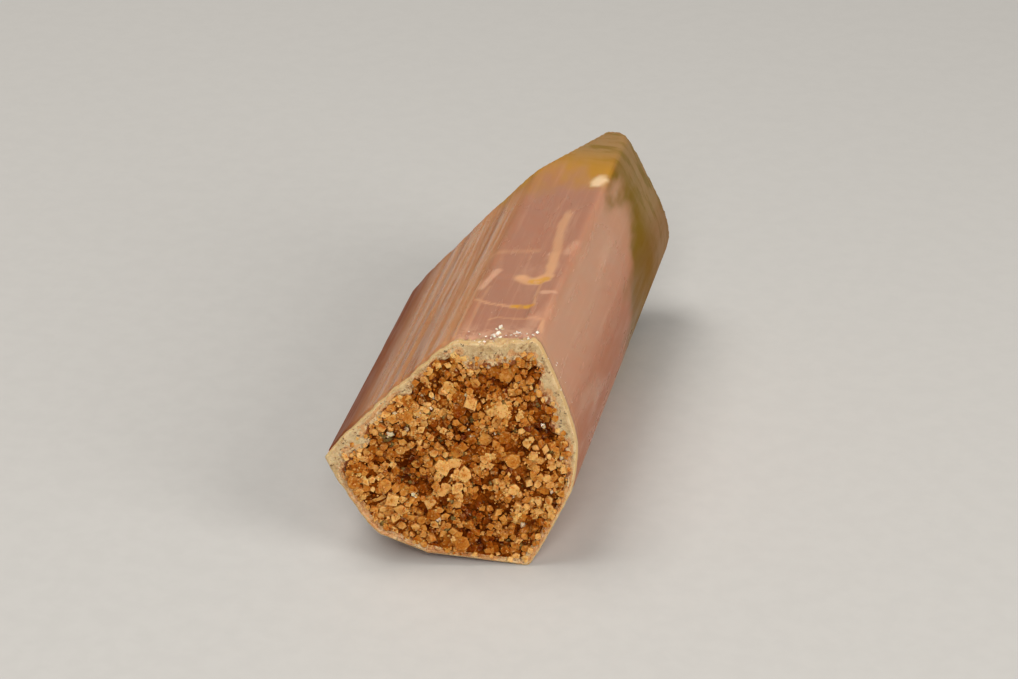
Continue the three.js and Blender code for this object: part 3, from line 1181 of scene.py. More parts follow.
        # The milky channel holds milky marks and painted highlights; past 17 mm along the axis it takes the
        # glint colour, a painted glint.
        colour = bench.mix(milk * 0.85, colour, bench.mix(lie.along.fade(17.0, 18.0), self.milk, self.glint))
        flecks = bench.grain(lie.place, 3.2, 2.0).fade(0.36, 0.5, 0.45, 1.0)
        return bench.mix(amber * flecks, colour, self.amber)

    def _rim(self, bench: Bench, colour: Wire, lie: Lie) -> Wire:
        """Lays what runs along the break over a colour: frost, cream edge, dark line and faint arcs.

        Args:
            bench: the tree's bench.
            colour: the colour under it.
            lie: where the point lies.

        Returns:
            The colour.
        """
        frost = bench.grain(lie.place, 1.7, 4.0, 0.65).fade(0.36, 0.6) * lie.top
        colour = bench.mix(frost * lie.behind.fade(2.2, 0.5, 0.0, 0.75), colour, self.milk)
        edge = lie.behind + bench.grain(lie.place, 2.6, 3.0).fade(0.3, 0.7, -0.08, 0.08) - lie.top * 0.14
        colour = bench.mix(edge.fade(0.3, 0.16), colour, self.cream)
        line = lie.behind.fade(0.17, 0.24) * lie.behind.fade(0.42, 0.27)
        colour = bench.mix(line * lie.top.fade(0.1, 0.9, 0.75, 0.15), colour, self.brown)
        arcs = bench.maths("SINE", lie.behind * 24.0).fade(0.55, 0.95) * lie.behind.fade(1.1, 0.3, 0.0, 0.45)
        return bench.mix(arcs * lie.smooth, colour, self.cream)

    def _relief(self, bench: Bench, lie: Lie) -> Wire:
        """The normal of the surface's finest grooves and pits."""
        hair = lie.streaks(9.0, 0.3) * lie.stepped.fade(0.0, 1.0, 0.05, 0.7)
        pits = SPECKS.on(bench, place=lie.place, size=0.14, share=0.16)[0] * lie.behind.fade(1.6, 0.3)
        return bench.bump(hair - pits * 0.5, 0.02, 0.6)


@dataclass(frozen=True)
class LipFinish(Finish):
    """The lip round the break: smooth, straw-coloured and pitted, with peach glassy patches inwards."""

    name: str = "lip"
    cream: Colour = linear(201, 174, 128)
    shade: Colour = linear(176, 142, 92)
    pale: Colour = linear(228, 202, 156)
    peach: Colour = linear(214, 158, 100)
    # The orange of the painted glow of light shining through the lower lip.
    lit_through_orange: Colour = linear(204, 138, 74)
    rust: Colour = linear(140, 72, 16)
    soot: Colour = linear(70, 44, 14)
    haze: float = 0.0004

    def inputs(self, bench: Bench) -> dict[str, Any]:
        """The shader's inputs."""
        place = bench.millimetres()
        inner = bench.attribute("inner", "Fac")
        # Painted glow of light shining through the lip: towards the bottom it turns orange.
        low = place.axes()[2].fade(5.2, 2.8, 0.0, 0.8)
        colour = MOTTLE.on(bench, place=place, size=0.8, first=self.cream, second=self.shade, amount=0.8)[0]
        colour = bench.mix(low, colour, self.lit_through_orange)
        colour = MOTTLE.on(bench, place=place, size=0.28, first=colour, second=self.pale, amount=0.6)[0]
        rim = inner + bench.grain(place, 3.0, 2.0).fade(0.3, 0.7, -0.1, 0.1)
        colour = bench.mix(rim.fade(0.2, 0.04, 0.0, 0.7), colour, self.pale)

        cells = bench.add("ShaderNodeTexVoronoi", {"Vector": place, "Scale": 2.6}, "Color")
        facet = cells.channels()[0] + inner.fade(0.25, 0.9, -0.5, 0.3)
        colour = bench.mix(facet.fade(0.56, 0.62, 0.0, 0.75), colour, self.peach)
        colour = bench.mix(facet.fade(1.02, 1.06, 0.0, 0.6), colour, self.pale)
        ragged = inner + bench.grain(place, 2.4, 3.0).fade(0.3, 0.7, -0.28, 0.28)
        colour = bench.mix(ragged.fade(0.92, 1.12) * low.fade(0.0, 0.8, 1.0, 0.35), colour, self.rust)
        split = bench.grain(place, 1.9, 5.0, 0.7)
        cracks = split.fade(0.5, 0.47) * split.fade(0.44, 0.47) * inner.fade(0.25, 0.8, 0.0, 0.75)
        colour = bench.mix(cracks, colour, self.rust)
        pits = SPECKS.on(bench, place=place, size=0.11, share=0.26)[0]
        colour = bench.mix(pits * 0.7, colour, self.rust)
        crumbs = SPECKS.on(bench, place=place, size=0.17, share=0.1)[0]
        return {
            "Base Color": bench.mix(crumbs * 0.8, colour, self.soot),
            "Roughness": bench.grain(place, 1.4, 3.0).fade(0.3, 0.7, 0.26, 0.48),
            "Normal": bench.bump(bench.grain(place, 2.2, 4.0, 0.6) - pits * 0.8, 0.1, 0.9),
            "IOR": 1.6,
            "Specular IOR Level": 0.3,
            "Subsurface Weight": 0.6,
            "Subsurface Radius": (1.0, 0.7, 0.45),
            "Subsurface Scale": self.haze,
        }


@dataclass(frozen=True)
class CrustFloorFinish(Finish):
    """What lies between the grains: rough and rust brown."""

    name: str = "crust_floor"
    rust: Colour = linear(142, 68, 10)
    umber: Colour = linear(70, 24, 0)

    def inputs(self, bench: Bench) -> dict[str, Any]:
        """The shader's inputs."""
        place = bench.millimetres()
        colour, mask = MOTTLE.on(
            bench, place=place, size=0.6, first=self.rust, second=self.umber, amount=1.0
        )
        return {
            "Base Color": colour,
            "Roughness": mask.fade(0.0, 1.0, 0.6, 0.85),
            "Normal": bench.bump(bench.grain(place, 6.0, 5.0), 0.08, 1.0),
            "Specular IOR Level": 0.02,
        }


@dataclass(frozen=True)
class GrainFinish(Finish):
    """The crust's grains: sugary, each tinted by its own kind, under a veil of rust."""

    shine: float
    veil: Colour = linear(222, 170, 100)
    sugar: Colour = linear(236, 196, 138)
    haze: float = 0.00014

    def inputs(self, bench: Bench) -> dict[str, Any]:
        """The shader's inputs."""
        place = bench.millimetres()
        stained = bench.grain(place, 2.7, 5.0, 0.7).fade(0.5, 0.68, 0.0, 0.85)
        colour = bench.mix(stained, bench.attribute("tint"), self.veil, "MULTIPLY")
        clouds = bench.grain(place, 6.5, 4.0, 0.65)
        colour = bench.mix(clouds.fade(0.48, 0.34, 0.0, 0.8), colour, self.veil, "MULTIPLY")
        return {
            "Base Color": bench.mix(clouds.fade(0.52, 0.72, 0.0, 0.45), colour, self.sugar),
            "Roughness": bench.attribute("matt", "Fac").fade(0.0, 1.0, 0.08, 0.6),
            "Normal": bench.bump(bench.grain(place, 9.0, 4.0), 0.03, 0.6),
            "IOR": 1.6,
            "Specular IOR Level": self.shine,
            "Subsurface Weight": 0.4,
            "Subsurface Radius": (1.0, 0.5, 0.22),
            "Subsurface Scale": self.haze,
        }


@dataclass(frozen=True)
class FloorFinish(Finish):
    """The studio floor: plain pale card."""

    name: str = "studio_floor"
    card: Colour = linear(198, 196, 192)
    fleck: float = 0.965

    def inputs(self, bench: Bench) -> dict[str, Any]:
        """The shader's inputs."""
        fibre = bench.grain(bench.millimetres(), 0.8, 4.0)
        near = tuple(self.fleck * value for value in self.card[:3]) + (1.0,)
        return {
            "Base Color": bench.mix(fibre.fade(0.3, 0.7), self.card, near),
            "Roughness": fibre.fade(0.3, 0.7, 0.55, 0.65),
        }


# ---- Pieces ----


@dataclass
class Seat:
    """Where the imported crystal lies, and the move that puts a mesh in millimetres onto it."""

    node: bpy.types.Object
    near: float = 1e-6

    def toe(self) -> Vector:
        """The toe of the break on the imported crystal, in metres."""
        resting = [vert.co for vert in self.node.data.vertices if vert.co.z < self.near]
        reach = max(co.x for co in resting)
        return min((co for co in resting if co.x > reach - self.near), key=lambda co: co.y).copy()

    def move(self) -> Matrix:
        """The move from the crystal's own frame, in millimetres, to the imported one, in metres."""
        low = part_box(self.node.name)[0]
        shift = Vector((low.x - LEFT_EDGE.x * MM, self.toe().y, 0.0))
        return Matrix.Translation(shift) @ Matrix.Scale(MM, 4)


def linked(name: str, data: bpy.types.ID) -> bpy.types.Object:
    """A new object of the scene that holds the data."""
    thing = bpy.data.objects.new(name, data)
    bpy.context.scene.collection.objects.link(thing)
    return thing


def finished(bm: Mesh, name: str, seat: Seat, finishes: Sequence[Finish], crease: float) -> bpy.types.Object:
    """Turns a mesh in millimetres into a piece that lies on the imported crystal.

    Args:
        bm: the mesh, which is freed.
        name: the piece's name.
        seat: where the crystal lies.
        finishes: the piece's finishes, in the order of its slots.
        crease: the angle in degrees past which an edge stays sharp.

    Returns:
        The piece.
    """
    bmesh.ops.transform(bm, matrix=seat.move(), verts=bm.verts)
    mesh = bpy.data.meshes.new(name)
    bm.to_mesh(mesh)
    bm.free()
    mesh.shade_smooth()
    mesh.set_sharp_from_angle(angle=math.radians(crease))
    for finish in finishes:
        mesh.materials.append(finish.material())
    piece = linked(name, mesh)
    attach(piece, BODY_NAME)
    return piece


# The slots of the body's finishes.
STONE, LIP, FLOOR = range(3)

Ring = tuple[int, Callable[[Station], Vector]]


@dataclass
class CrystalBody:
    """The crystal itself: prism, grown end, lip and the floor under the crust."""

    surface: Surface
    compass: Compass
    seat: Seat
    crust: CrustMap = CrustMap()
    crease: float = 34.0
    near_step: float = 0.12
    near_reach: float = 9.0
    far_step: float = 0.34
    length: float = 29.6
    # The rows of the rounded shoulder: how far round each lies, in degrees, and the finish after it.
    shoulder_rows: tuple[tuple[float, int], ...] = ((30.0, STONE), (60.0, LIP))
    lip_rows: int = 7
    lump_depth: float = 0.035
    lumps: Waves = even(1.0, 2.1, 12)
    chip_depth: float = 0.1
    chips: Waves = even(1.0, 1.3, 13)
    pit_depth: float = 0.07
    pits: Waves = even(1.0, 6.0, 14)
    # How far down the step into the crust each row lies, how far in, and the finish that follows it.
    wall_rows: tuple[tuple[float, float, int], ...] = (
        (0.3, 0.05, LIP), (0.7, 0.1, FLOOR), (1.0, 0.2, FLOOR),
    )
    floor_inset: float = 0.2
    floor_rows: tuple[float, ...] = (0.12, 0.26, 0.42, 0.6, 0.8, 1.0)
    floor_hills: Waves = even(0.05, 2.2, 15)
    floor_crumbs: Waves = even(0.03, 6.0, 16)
    least_drop: float = 0.05
    grown_pitch: float = 0.22
    grown_relief: float = 0.07
    grown_treads: int = 6
    grown_riser: float = 0.35
    grown_fade: int = 3
    grown_warp: Waves = even(0.5, 0.7, 60)
    hillocks: Waves = even(0.6, 1.0, 70)
    # The hillocks' swings a millimetre across and up, and how far they slant along the axis.
    hillock_pitch: float = 0.34
    hillock_slant: float = 0.2
    ripples: Waves = even(0.2, 1.0, 80)
    ripple_pitch: float = 1.3
    edge_wear: float = 0.5
    wear_turns: int = 3
    # The top face's lines, painted highlights and glint included, reach this far along the axis.
    mark_reach: float = 21.0
    mark_top: float = 0.05

    def build(self) -> bpy.types.Object:
        """Builds the piece and dresses it.

        Returns:
            The piece.
        """
        bm = bmesh.new()
        self._skin(bm)
        self._grow_end(bm)
        self._etch(bm)
        bmesh.ops.recalc_face_normals(bm, faces=bm.faces)
        self._mark(bm)
        finishes = (TourmalineFinish(), LipFinish(), CrustFloorFinish())
        piece = finished(bm, "crystal_body", self.seat, finishes, self.crease)
        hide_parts(NODE_NAME)
        return piece

    def _rings(self) -> list[Ring]:
        """The rings of the skin, from the far end to the middle of the crust's floor.

        Returns:
            For each ring, the finish of the strip that follows it and the place of its points.
        """
        skin, shoulder = self.surface.place, self.surface.fracture.shoulder
        rings: list[Ring] = []
        behind = self.length
        while behind > shoulder:
            rings.append((STONE, partial(skin, behind=behind)))
            behind -= self.far_step if behind > self.near_reach else self.near_step
        rings.append((STONE, partial(skin, behind=shoulder)))
        for turn, finish in self.shoulder_rows:
            angle = math.radians(turn)
            inset = shoulder * (1.0 - math.cos(angle))
            depth = shoulder * (1.0 - math.sin(angle))
            rings.append((finish, partial(self._inside, inset=inset, depth=depth)))
        rings.append((LIP, partial(self._inside, inset=shoulder)))
        for row in range(1, self.lip_rows + 1):
            rings.append((LIP, partial(self._lip, share=row / self.lip_rows)))
        for drop, inset, finish in self.wall_rows:
            rings.append((finish, partial(self._wall, drop=drop, inset=inset)))
        rings += [(FLOOR, partial(self._floor, share=share)) for share in self.floor_rows]
        return rings

    def _inside(self, station: Station, inset: float, depth: float = 0.0) -> Vector:
        """A point of the break, in from its rim and below its plane."""
        rim, middle = self.surface.place(station, 0.0), self.surface.fracture.middle()
        share = clamp(inset / (middle - rim).length)
        return rim.lerp(middle, share) - self.surface.fracture.unit() * depth

    def _lip_width(self, station: Station) -> float:
        """How wide the lip is at a station."""
        return self.surface.fracture.lip_width(station.x, station.z)

    def _lip(self, station: Station, share: float) -> Vector:
        """A point of the lip, a share of the way from its shoulder to its inner edge.

        Args:
            station: the place on the outline.
            share: the share.

        Returns:
            The point.
        """
        inset = blend(self.surface.fracture.shoulder, self._lip_width(station), share)
        flat = self._inside(station, inset)
        lumps = self.lump_depth * (1.0 + self.lumps.at(flat.x, flat.z)) * ease(0.0, 0.3, share)
        chips = self.chip_depth * ease(0.1, 0.45, self.chips.at(flat.x, flat.z)) * ease(0.3, 0.9, share)
        pits = self.pit_depth * ease(0.28, 0.42, self.pits.at(flat.x, flat.z)) * ease(0.1, 0.4, share)
        return self._inside(station, inset, lumps + chips + pits)

    def _wall(self, station: Station, drop: float, inset: float) -> Vector:
        """A point of the step down from the lip to the crust's floor.

        Args:
            station: the place on the outline.
            drop: how far down the step it lies, as a share.
            inset: how far in from the lip it lies, in millimetres.

        Returns:
            The point.
        """
        width = self._lip_width(station) + inset
        if drop == 1.0:
            return self._rough(self._inside(station, width))
        foot = self._inside(station, width, self.surface.fracture.crust_depth)
        return self._lip(station, 1.0).lerp(foot, drop)

    def _floor(self, station: Station, share: float) -> Vector:
        """A point of the crust's floor, a share of the way from its edge to its middle."""
        edge = self._inside(station, self._lip_width(station) + self.floor_inset)
        return self._rough(edge.lerp(self.surface.fracture.middle(), share))

    def _rough(self, flat: Vector) -> Vector:
        """Lowers a point of the break's plane to the rough floor of the crust."""
        x, z, fracture = flat.x, flat.z, self.surface.fracture
        hills = self.floor_hills.at(x, z) + self.floor_crumbs.at(x, z)
        drop = fracture.crust_depth - hills - self.crust.rise(x, z)
        return flat - fracture.unit() * max(self.least_drop, drop)

    def _skin(self, bm: Mesh) -> None:
        """Rolls a grid round the outline and along the rings, and closes both its ends.

        Args:
            bm: the body's mesh.
        """
        stations, rings = self.surface.section.stations(), self._rings()
        columns = len(stations)
        bmesh.ops.create_grid(bm, x_segments=columns, y_segments=len(rings) - 1, size=1.0)
        bm.verts.ensure_lookup_table()
        bm.faces.ensure_lookup_table()
        for row, (finish, place) in enumerate(rings):
            first = row * (columns + 1)
            for column in range(columns + 1):
                bm.verts[first + column].co = place(stations[column % columns])
            if row < len(rings) - 1:
                for column in range(columns):
                    bm.faces[row * columns + column].material_index = finish
        bmesh.ops.remove_doubles(bm, verts=bm.verts, dist=WELD_GAP)
        bmesh.ops.holes_fill(bm, edges=[edge for edge in bm.edges if edge.is_boundary], sides=0)

    def _grow_end(self, bm: Mesh) -> None:
        """Cuts the faces of the grown end, each marked by its number in the 'grown' layer.

        Args:
            bm: the body's mesh.
        """
        layer = bm.faces.layers.int.new("grown")
        section = self.surface.section
        for number, face in enumerate(GROWN_FACES, start=1):
            crossing = Vector((section.middle_x, face.height, section.middle_z))
            cut = bmesh.ops.bisect_plane(
                bm, geom=[*bm.verts, *bm.edges, *bm.faces], dist=WELD_GAP, plane_co=crossing,
                plane_no=face.normal(), clear_outer=True,
            )
            edges = [item for item in cut["geom_cut"] if isinstance(item, Edge)]
            for patch in bmesh.ops.holes_fill(bm, edges=edges, sides=0)["faces"]:
                patch[layer] = number

    def _etch(self, bm: Mesh) -> None:
        """Gives each face of the grown end its growth steps, and wears its edges.

        Args:
            bm: the body's mesh.
        """
        layer = bm.faces.layers.int["grown"]
        for number, face in enumerate(GROWN_FACES, start=1):
            self._divide(bm, number, face.normal())
        borders = {
            vert for edge in bm.edges
            if len({face[layer] for face in edge.link_faces}) > 1
            for vert in edge.verts
        }
        rows = self._rows(layer, borders)
        for vert in bm.verts:
            numbers = {face[layer] for face in vert.link_faces}
            if len(numbers) == 1 and 0 not in numbers:
                number = numbers.pop()
                share = rows.get(vert, self.grown_fade) / self.grown_fade
                vert.co += GROWN_FACES[number - 1].normal() * (-share * self._steps(vert.co, number))
        for _ in range(self.wear_turns):
            bmesh.ops.smooth_vert(
                bm, verts=list(borders), factor=self.edge_wear,
                use_axis_x=True, use_axis_y=True, use_axis_z=True,
            )

    def _rows(self, layer: Any, borders: set[Vert]) -> dict[Vert, int]:
        """How many edges away from a border each of the nearest points of the grown faces lies.

        Args:
            layer: the layer that holds the grown faces' numbers.
            borders: the points on the borders of the grown faces.

        Returns:
            The count for each point up to the last row.
        """
        rows = {vert: 0 for vert in borders}
        front = list(borders)
        for distance in range(1, self.grown_fade + 1):
            beside = {edge.other_vert(vert) for vert in front for edge in vert.link_edges}
            front = [
                vert for vert in beside
                if vert not in rows and any(face[layer] for face in vert.link_faces)
            ]
            rows.update(dict.fromkeys(front, distance))
        return rows

    def _divide(self, bm: Mesh, number: int, normal: Vector) -> None:
        """Cuts one grown face into a fine grid.

        Args:
            bm: the body's mesh.
            number: the grown face's number.
            normal: its outward normal.
        """
        layer = bm.faces.layers.int["grown"]
        level = normal.cross(Vector(UP)).normalized()
        slope = normal.cross(level).normalized()
        for direction in (level, slope):
            spans = [
                vert.co.dot(direction)
                for face in bm.faces if face[layer] == number
                for vert in face.verts
            ]
            place = min(spans) + self.grown_pitch
            while place < max(spans):
                mine = [
                    face for face in bm.faces
                    if face[layer] == number and self._straddles(face, direction, place)
                ]
                edges = {edge for face in mine for edge in face.edges}
                verts = {vert for face in mine for vert in face.verts}
                bmesh.ops.bisect_plane(
                    bm, geom=[*verts, *edges, *mine], dist=CUT_GAP,
                    plane_co=direction * place, plane_no=direction,
                )
                place += self.grown_pitch

    @staticmethod
    def _straddles(face: Face, direction: Vector, place: float) -> bool:
        """Whether a plane runs through a face."""
        reach = [vert.co.dot(direction) for vert in face.verts]
        return min(reach) < place < max(reach)

    def _steps(self, point: Vector, number: int) -> float:
        """How deep the growth steps of a grown face go at a point.

        Args:
            point: the point.
            number: the grown face's number.

        Returns:
            The depth in millimetres.
        """
        x, y, z = point
        warp = self.grown_warp.at(x, z, number)
        pitch = self.hillock_pitch
        broad = self.hillocks.at(x * pitch + warp, z * pitch + y * self.hillock_slant, number)
        small = self.ripples.at(x * self.ripple_pitch, z * self.ripple_pitch + warp, number)
        level = terraced(0.5 + broad + small, self.grown_treads, self.grown_riser)
        return self.grown_relief * (1.0 - level)

    def _mark(self, bm: Mesh) -> None:
        """Writes what the finishes read at each point: where it lies and what marks it carries.

        Args:
            bm: the body's mesh.
        """
        lay = bm.verts.layers.float_vector.new("lay")
        sides = bm.verts.layers.float_color.new("sides")
        stains_and_highlights = bm.verts.layers.float_color.new("stains_and_highlights")
        ridge = bm.verts.layers.float.new("ridge")
        inner = bm.verts.layers.float.new("inner")
        for vert in bm.verts:
            x, y, z = vert.co
            station = self.compass.station(x, z)
            vert[lay] = (station.around, y, y - self.surface.fracture.height(x, z))
            vert[sides] = (*station.sides, 1.0)
            vert[ridge] = self.surface.groove_level(station, y)
            vert[stains_and_highlights] = (*self._line_strengths(x, y, station.sides[Flank.TOP.value]), 1.0)
            rim = Vector((station.x - x, station.z - z)).length
            vert[inner] = clamp(rim / self._lip_width(station))

    def _line_strengths(self, x: float, y: float, top: float) -> list[float]:
        """The strengths of the three kinds of line at a place on the top face; the third kind holds milky
        marks and painted highlights.

        Args:
            x: the place across the section.
            y: the place along the axis.
            top: the place's share of the top face.

        Returns:
            A strength for each kind.
        """
        found = [0.0, 0.0, 0.0]
        if top >= self.mark_top and y <= self.mark_reach:
            for stain in LINE_MARKS:
                found[stain.channel] = max(found[stain.channel], stain.mask(x, y))
        return found


# Painted glints: small near-white glassy chips on the top face, where glints show. Columns: place across,
# place along the axis, and radius.
GLINTS = (
    (1.72, 3.68, 0.15), (1.88, 3.56, 0.11), (1.6, 3.48, 0.08), (1.78, 3.02, 0.16), (1.62, 2.82, 0.12),
    (1.94, 2.76, 0.09), (1.48, 2.6, 0.06), (2.6, 3.38, 0.12), (2.5, 3.2, 0.07), (0.93, 2.81, 0.07),
    (1.25, 2.72, 0.05), (3.26, 2.92, 0.08), (3.42, 3.2, 0.06), (3.64, 3.42, 0.08), (3.1, 3.3, 0.05),
)


class Zone(Enum):
    """Where a size of grain belongs."""

    CRUST = "inside the lip"
    LIP = "sunk in the lip"
    RIM = "on the top and right faces, just behind the break"
    GLINT = "on the top face, at a place of its own"


@dataclass(frozen=True)
class GrainSize:
    """One size of grain. Lengths are in millimetres.

    Grains of a size lie only where the crust is at least as fused as the size asks. Fine is 0 for a
    coarse grain and 1 for the finest; loose is the share that lie any way up.
    """

    zone: Zone
    low: float
    high: float
    tries: int
    spacing: float
    sink: float
    loose: float
    tilt: float
    fine: float
    fused: float = 0.0


@dataclass(frozen=True)
class Grain:
    """One grain.

    It lies at x and z on the section, except on the rim, where they are two random numbers that its
    place is worked out from, and among the glints, where z is the place along the axis.
    """

    x: float
    z: float
    radius: float
    size: GrainSize


@dataclass(frozen=True)
class GrainMoulds:
    """The shapes that grains are copied from, each about one unit in radius.

    Columns stand on end, nuggets lie any way up, and crumbs are nuggets with fewer faces.
    """

    shapes: int = 12
    column_sides: tuple[int, int] = (4, 7)
    column_radii: Pair = (0.74, 1.2)
    column_depth: float = 1.8
    column_waist: float = 0.5
    column_top: float = 0.14
    column_bevel: float = 0.1
    column_points: Pair = (-0.06, 0.12)
    nugget_side: float = 1.7
    nugget_radii: Pair = (0.78, 0.98)
    nugget_cuts: int = 11
    crumb_cuts: int = 5

    def cast(self, bm: Mesh, chance: random.Random) -> tuple[list[Any], list[Any], list[Any]]:
        """Adds all the shapes to a mesh.

        Args:
            bm: the mesh.
            chance: the random numbers.

        Returns:
            The columns, the nuggets and the crumbs, each shape as its vertices, edges and faces.
        """
        columns = [self._column(bm, chance) for _ in range(self.shapes)]
        nuggets = [self._nugget(bm, chance, self.nugget_cuts) for _ in range(self.shapes)]
        crumbs = [self._nugget(bm, chance, self.crumb_cuts) for _ in range(self.shapes)]
        return columns, nuggets, crumbs

    def _column(self, bm: Mesh, chance: random.Random) -> list[Any]:
        """Adds a short column with a worn flat top.

        Args:
            bm: the mesh.
            chance: the random numbers.

        Returns:
            The column's vertices, edges and faces.
        """
        sides = chance.randint(*self.column_sides)
        verts = bmesh.ops.create_circle(bm, cap_ends=True, segments=sides, radius=1.0)["verts"]
        for vert in verts:
            vert.co *= chance.uniform(*self.column_radii)
        raised = bmesh.ops.extrude_face_region(bm, geom=[verts[0].link_faces[0]])["geom"]
        lifted = [item for item in raised if isinstance(item, Vert)]
        top = next(item for item in raised if isinstance(item, Face))
        bmesh.ops.translate(bm, verts=verts, vec=(0.0, 0.0, -self.column_depth))
        bmesh.ops.translate(bm, verts=lifted, vec=(0.0, 0.0, -self.column_top))
        faces = {face for vert in verts for face in vert.link_faces} | {top}
        bmesh.ops.recalc_face_normals(bm, faces=list(faces))
        bevel = self.column_bevel
        bmesh.ops.inset_region(bm, faces=[top], thickness=bevel, depth=bevel, use_even_offset=True)
        bmesh.ops.poke(bm, faces=[top], offset=chance.uniform(*self.column_points))
        waist = (0.0, 0.0, -self.column_waist)
        bmesh.ops.bisect_plane(bm, geom=self._whole(verts), dist=CUT_GAP, plane_co=waist, plane_no=UP)
        return self._whole(verts)

    def _nugget(self, bm: Mesh, chance: random.Random, cuts: int) -> list[Any]:
        """Adds a cube whose edges and corners are cut back by planes.

        Args:
            bm: the mesh.
            chance: the random numbers.
            cuts: how many planes cut it.

        Returns:
            The nugget's vertices, edges and faces.
        """
        verts = bmesh.ops.create_cube(bm, size=self.nugget_side)["verts"]
        for _ in range(cuts):
            normal = Vector([chance.gauss(0, 1) for _ in range(3)]).normalized()
            cut = bmesh.ops.bisect_plane(
                bm, geom=self._whole(verts), dist=CUT_GAP,
                plane_co=normal * chance.uniform(*self.nugget_radii), plane_no=normal, clear_outer=True,
            )
            rim = [item for item in cut["geom_cut"] if isinstance(item, Edge)]
            kept = {item for item in cut["geom"] if isinstance(item, Vert) and item.is_valid}
            kept |= {vert for edge in rim for vert in edge.verts}
            if rim:
                bmesh.ops.holes_fill(bm, edges=rim, sides=0)
            verts = [vert for vert in kept if vert.is_valid]
        return self._whole(verts)

    @staticmethod
    def _whole(verts: Sequence[Vert]) -> list[Any]:
        """Finds the whole of a shape.

        Args:
            verts: some of its vertices.

        Returns:
            All its vertices, edges and faces, in an order that its form sets.
        """
        found, front = set(verts), list(verts)
        while front:
            vert = front.pop()
            fresh = {edge.other_vert(vert) for edge in vert.link_edges} - found
            found |= fresh
            front += fresh
        ordered = sorted(found, key=lambda vert: tuple(vert.co))
        edges = list(dict.fromkeys(edge for vert in ordered for edge in vert.link_edges))
        faces = list(dict.fromkeys(face for vert in ordered for face in vert.link_faces))
        return ordered + edges + faces


# The slot of the glassy grains' finish in the crust, which the painted glints share.
GLASSY_SLOT = 1


@dataclass(frozen=True)
class GrainTint:
    """How grains are coloured: in their own kind's colour on top, paler round the top's edge as a painted
    highlight, and lower down rusty and darker, partly rust and partly painted shade in the gaps.
    """

    crust: CrustMap = CrustMap()
    lip_tones: Pair = (0.66, 0.92)
    fine_loss: float = 0.1
    palest_coarse: float = 0.86
    # How far below the top's tone the root's tone, rust with painted shade, lies: among single grains, fused
    # ones and others.
    root_drop: float = 0.46
    fused_drop: float = 0.18
    stray_drop: float = 0.1
    darkest_root: float = 0.06
    heart_swing: float = 0.12
    heart_radii: Pair = (0.3, 0.6)
    # Painted highlight: how much paler a grain's top is round its edge.
    rim_highlight: float = 0.07
    lights: Pair = (0.85, 1.1)
    # How far above the middle of its top, in radii, a grain starts to leave its root's rust and painted
    # shade, and has left them.
    rust_and_shade_line: Pair = (-0.55, -0.12)

    def paint(self, bm: Mesh, verts: Sequence[Vert], lie: tuple[Vector, Vector], grain: Grain,
              chance: random.Random) -> None:
        """Colours a grain.

        Args:
            bm: the crust's mesh.
            verts: the grain's vertices.
            lie: the middle of the grain's top, and the way that it faces.
            grain: the grain's place and size.
            chance: the random numbers.
        """
        (top, out), ramp = lie, self.crust.ramp
        kind, tone = self._draw(grain, chance)
        own, matt = kind.value
        root = ramp.colour(self._root_tone(grain, tone))
        heart = chance.uniform(-self.heart_swing, self.heart_swing)
        light = chance.uniform(*self.lights)
        tint, gloss = bm.verts.layers.float_color["tint"], bm.verts.layers.float["matt"]
        for vert in verts:
            offset = (vert.co - top) / grain.radius
            height = offset.dot(out)
            clear_of_rust_and_shade = ease(*self.rust_and_shade_line, height)
            middle = 1.0 - ease(*self.heart_radii, (offset - out * height).length)
            if own:
                colour = tuple(value * light for value in own[:3])
            else:
                # Painted highlight: the tone lifts round the edge of the top.
                colour = ramp.colour(tone + heart * middle + self.rim_highlight * (1.0 - middle) * clear_of_rust_and_shade)
            # Towards the root the colour turns to rust, darkened as painted shade.
            vert[tint] = (*(blend(root[i], colour[i], clear_of_rust_and_shade) for i in range(3)), 1.0)
            vert[gloss] = matt
        if kind in (GrainKind.GLASSY, GrainKind.ICY):
            for face in {face for vert in verts for face in vert.link_faces}:
                face.material_index = GLASSY_SLOT

    def _root_tone(self, grain: Grain, tone: float) -> float:
        """The tone that a grain of this tone goes down into: rust with painted shade, darker where grains
        stand apart than where they have fused.

        Args:
            grain: the grain's place and size.
            tone: the top's tone.

        Returns:
            The root's tone.
        """
        if grain.size.zone is not Zone.CRUST:
            return tone - self.stray_drop
        single = max(self.darkest_root, tone - self.root_drop)
        return blend(single, tone - self.fused_drop, self.crust.fused(grain.x, grain.z))

    def _draw(self, grain: Grain, chance: random.Random) -> tuple[GrainKind, float]:
        """Draws the look of a grain.

        Args:
            grain: the grain's place and size.
            chance: the random numbers.

        Returns:
            Its kind and its tone.
        """
        x, z, fine = grain.x, grain.z, grain.size.fine
        # The rim's grains and the glints are painted near-white, as painted glints.
        if grain.size.zone in (Zone.RIM, Zone.GLINT):
            return GrainKind.ICY, 1.0
        if grain.size.zone is Zone.LIP:
            return GrainKind.STAINED, chance.uniform(*self.lip_tones)
        tone = self.crust.shade(x, z) + chance.gauss(0.0, self.crust.spread) - self.fine_loss * fine
        return self.crust.kind(x, z, fine, chance), min(tone, blend(self.palest_coarse, 1.0, fine))


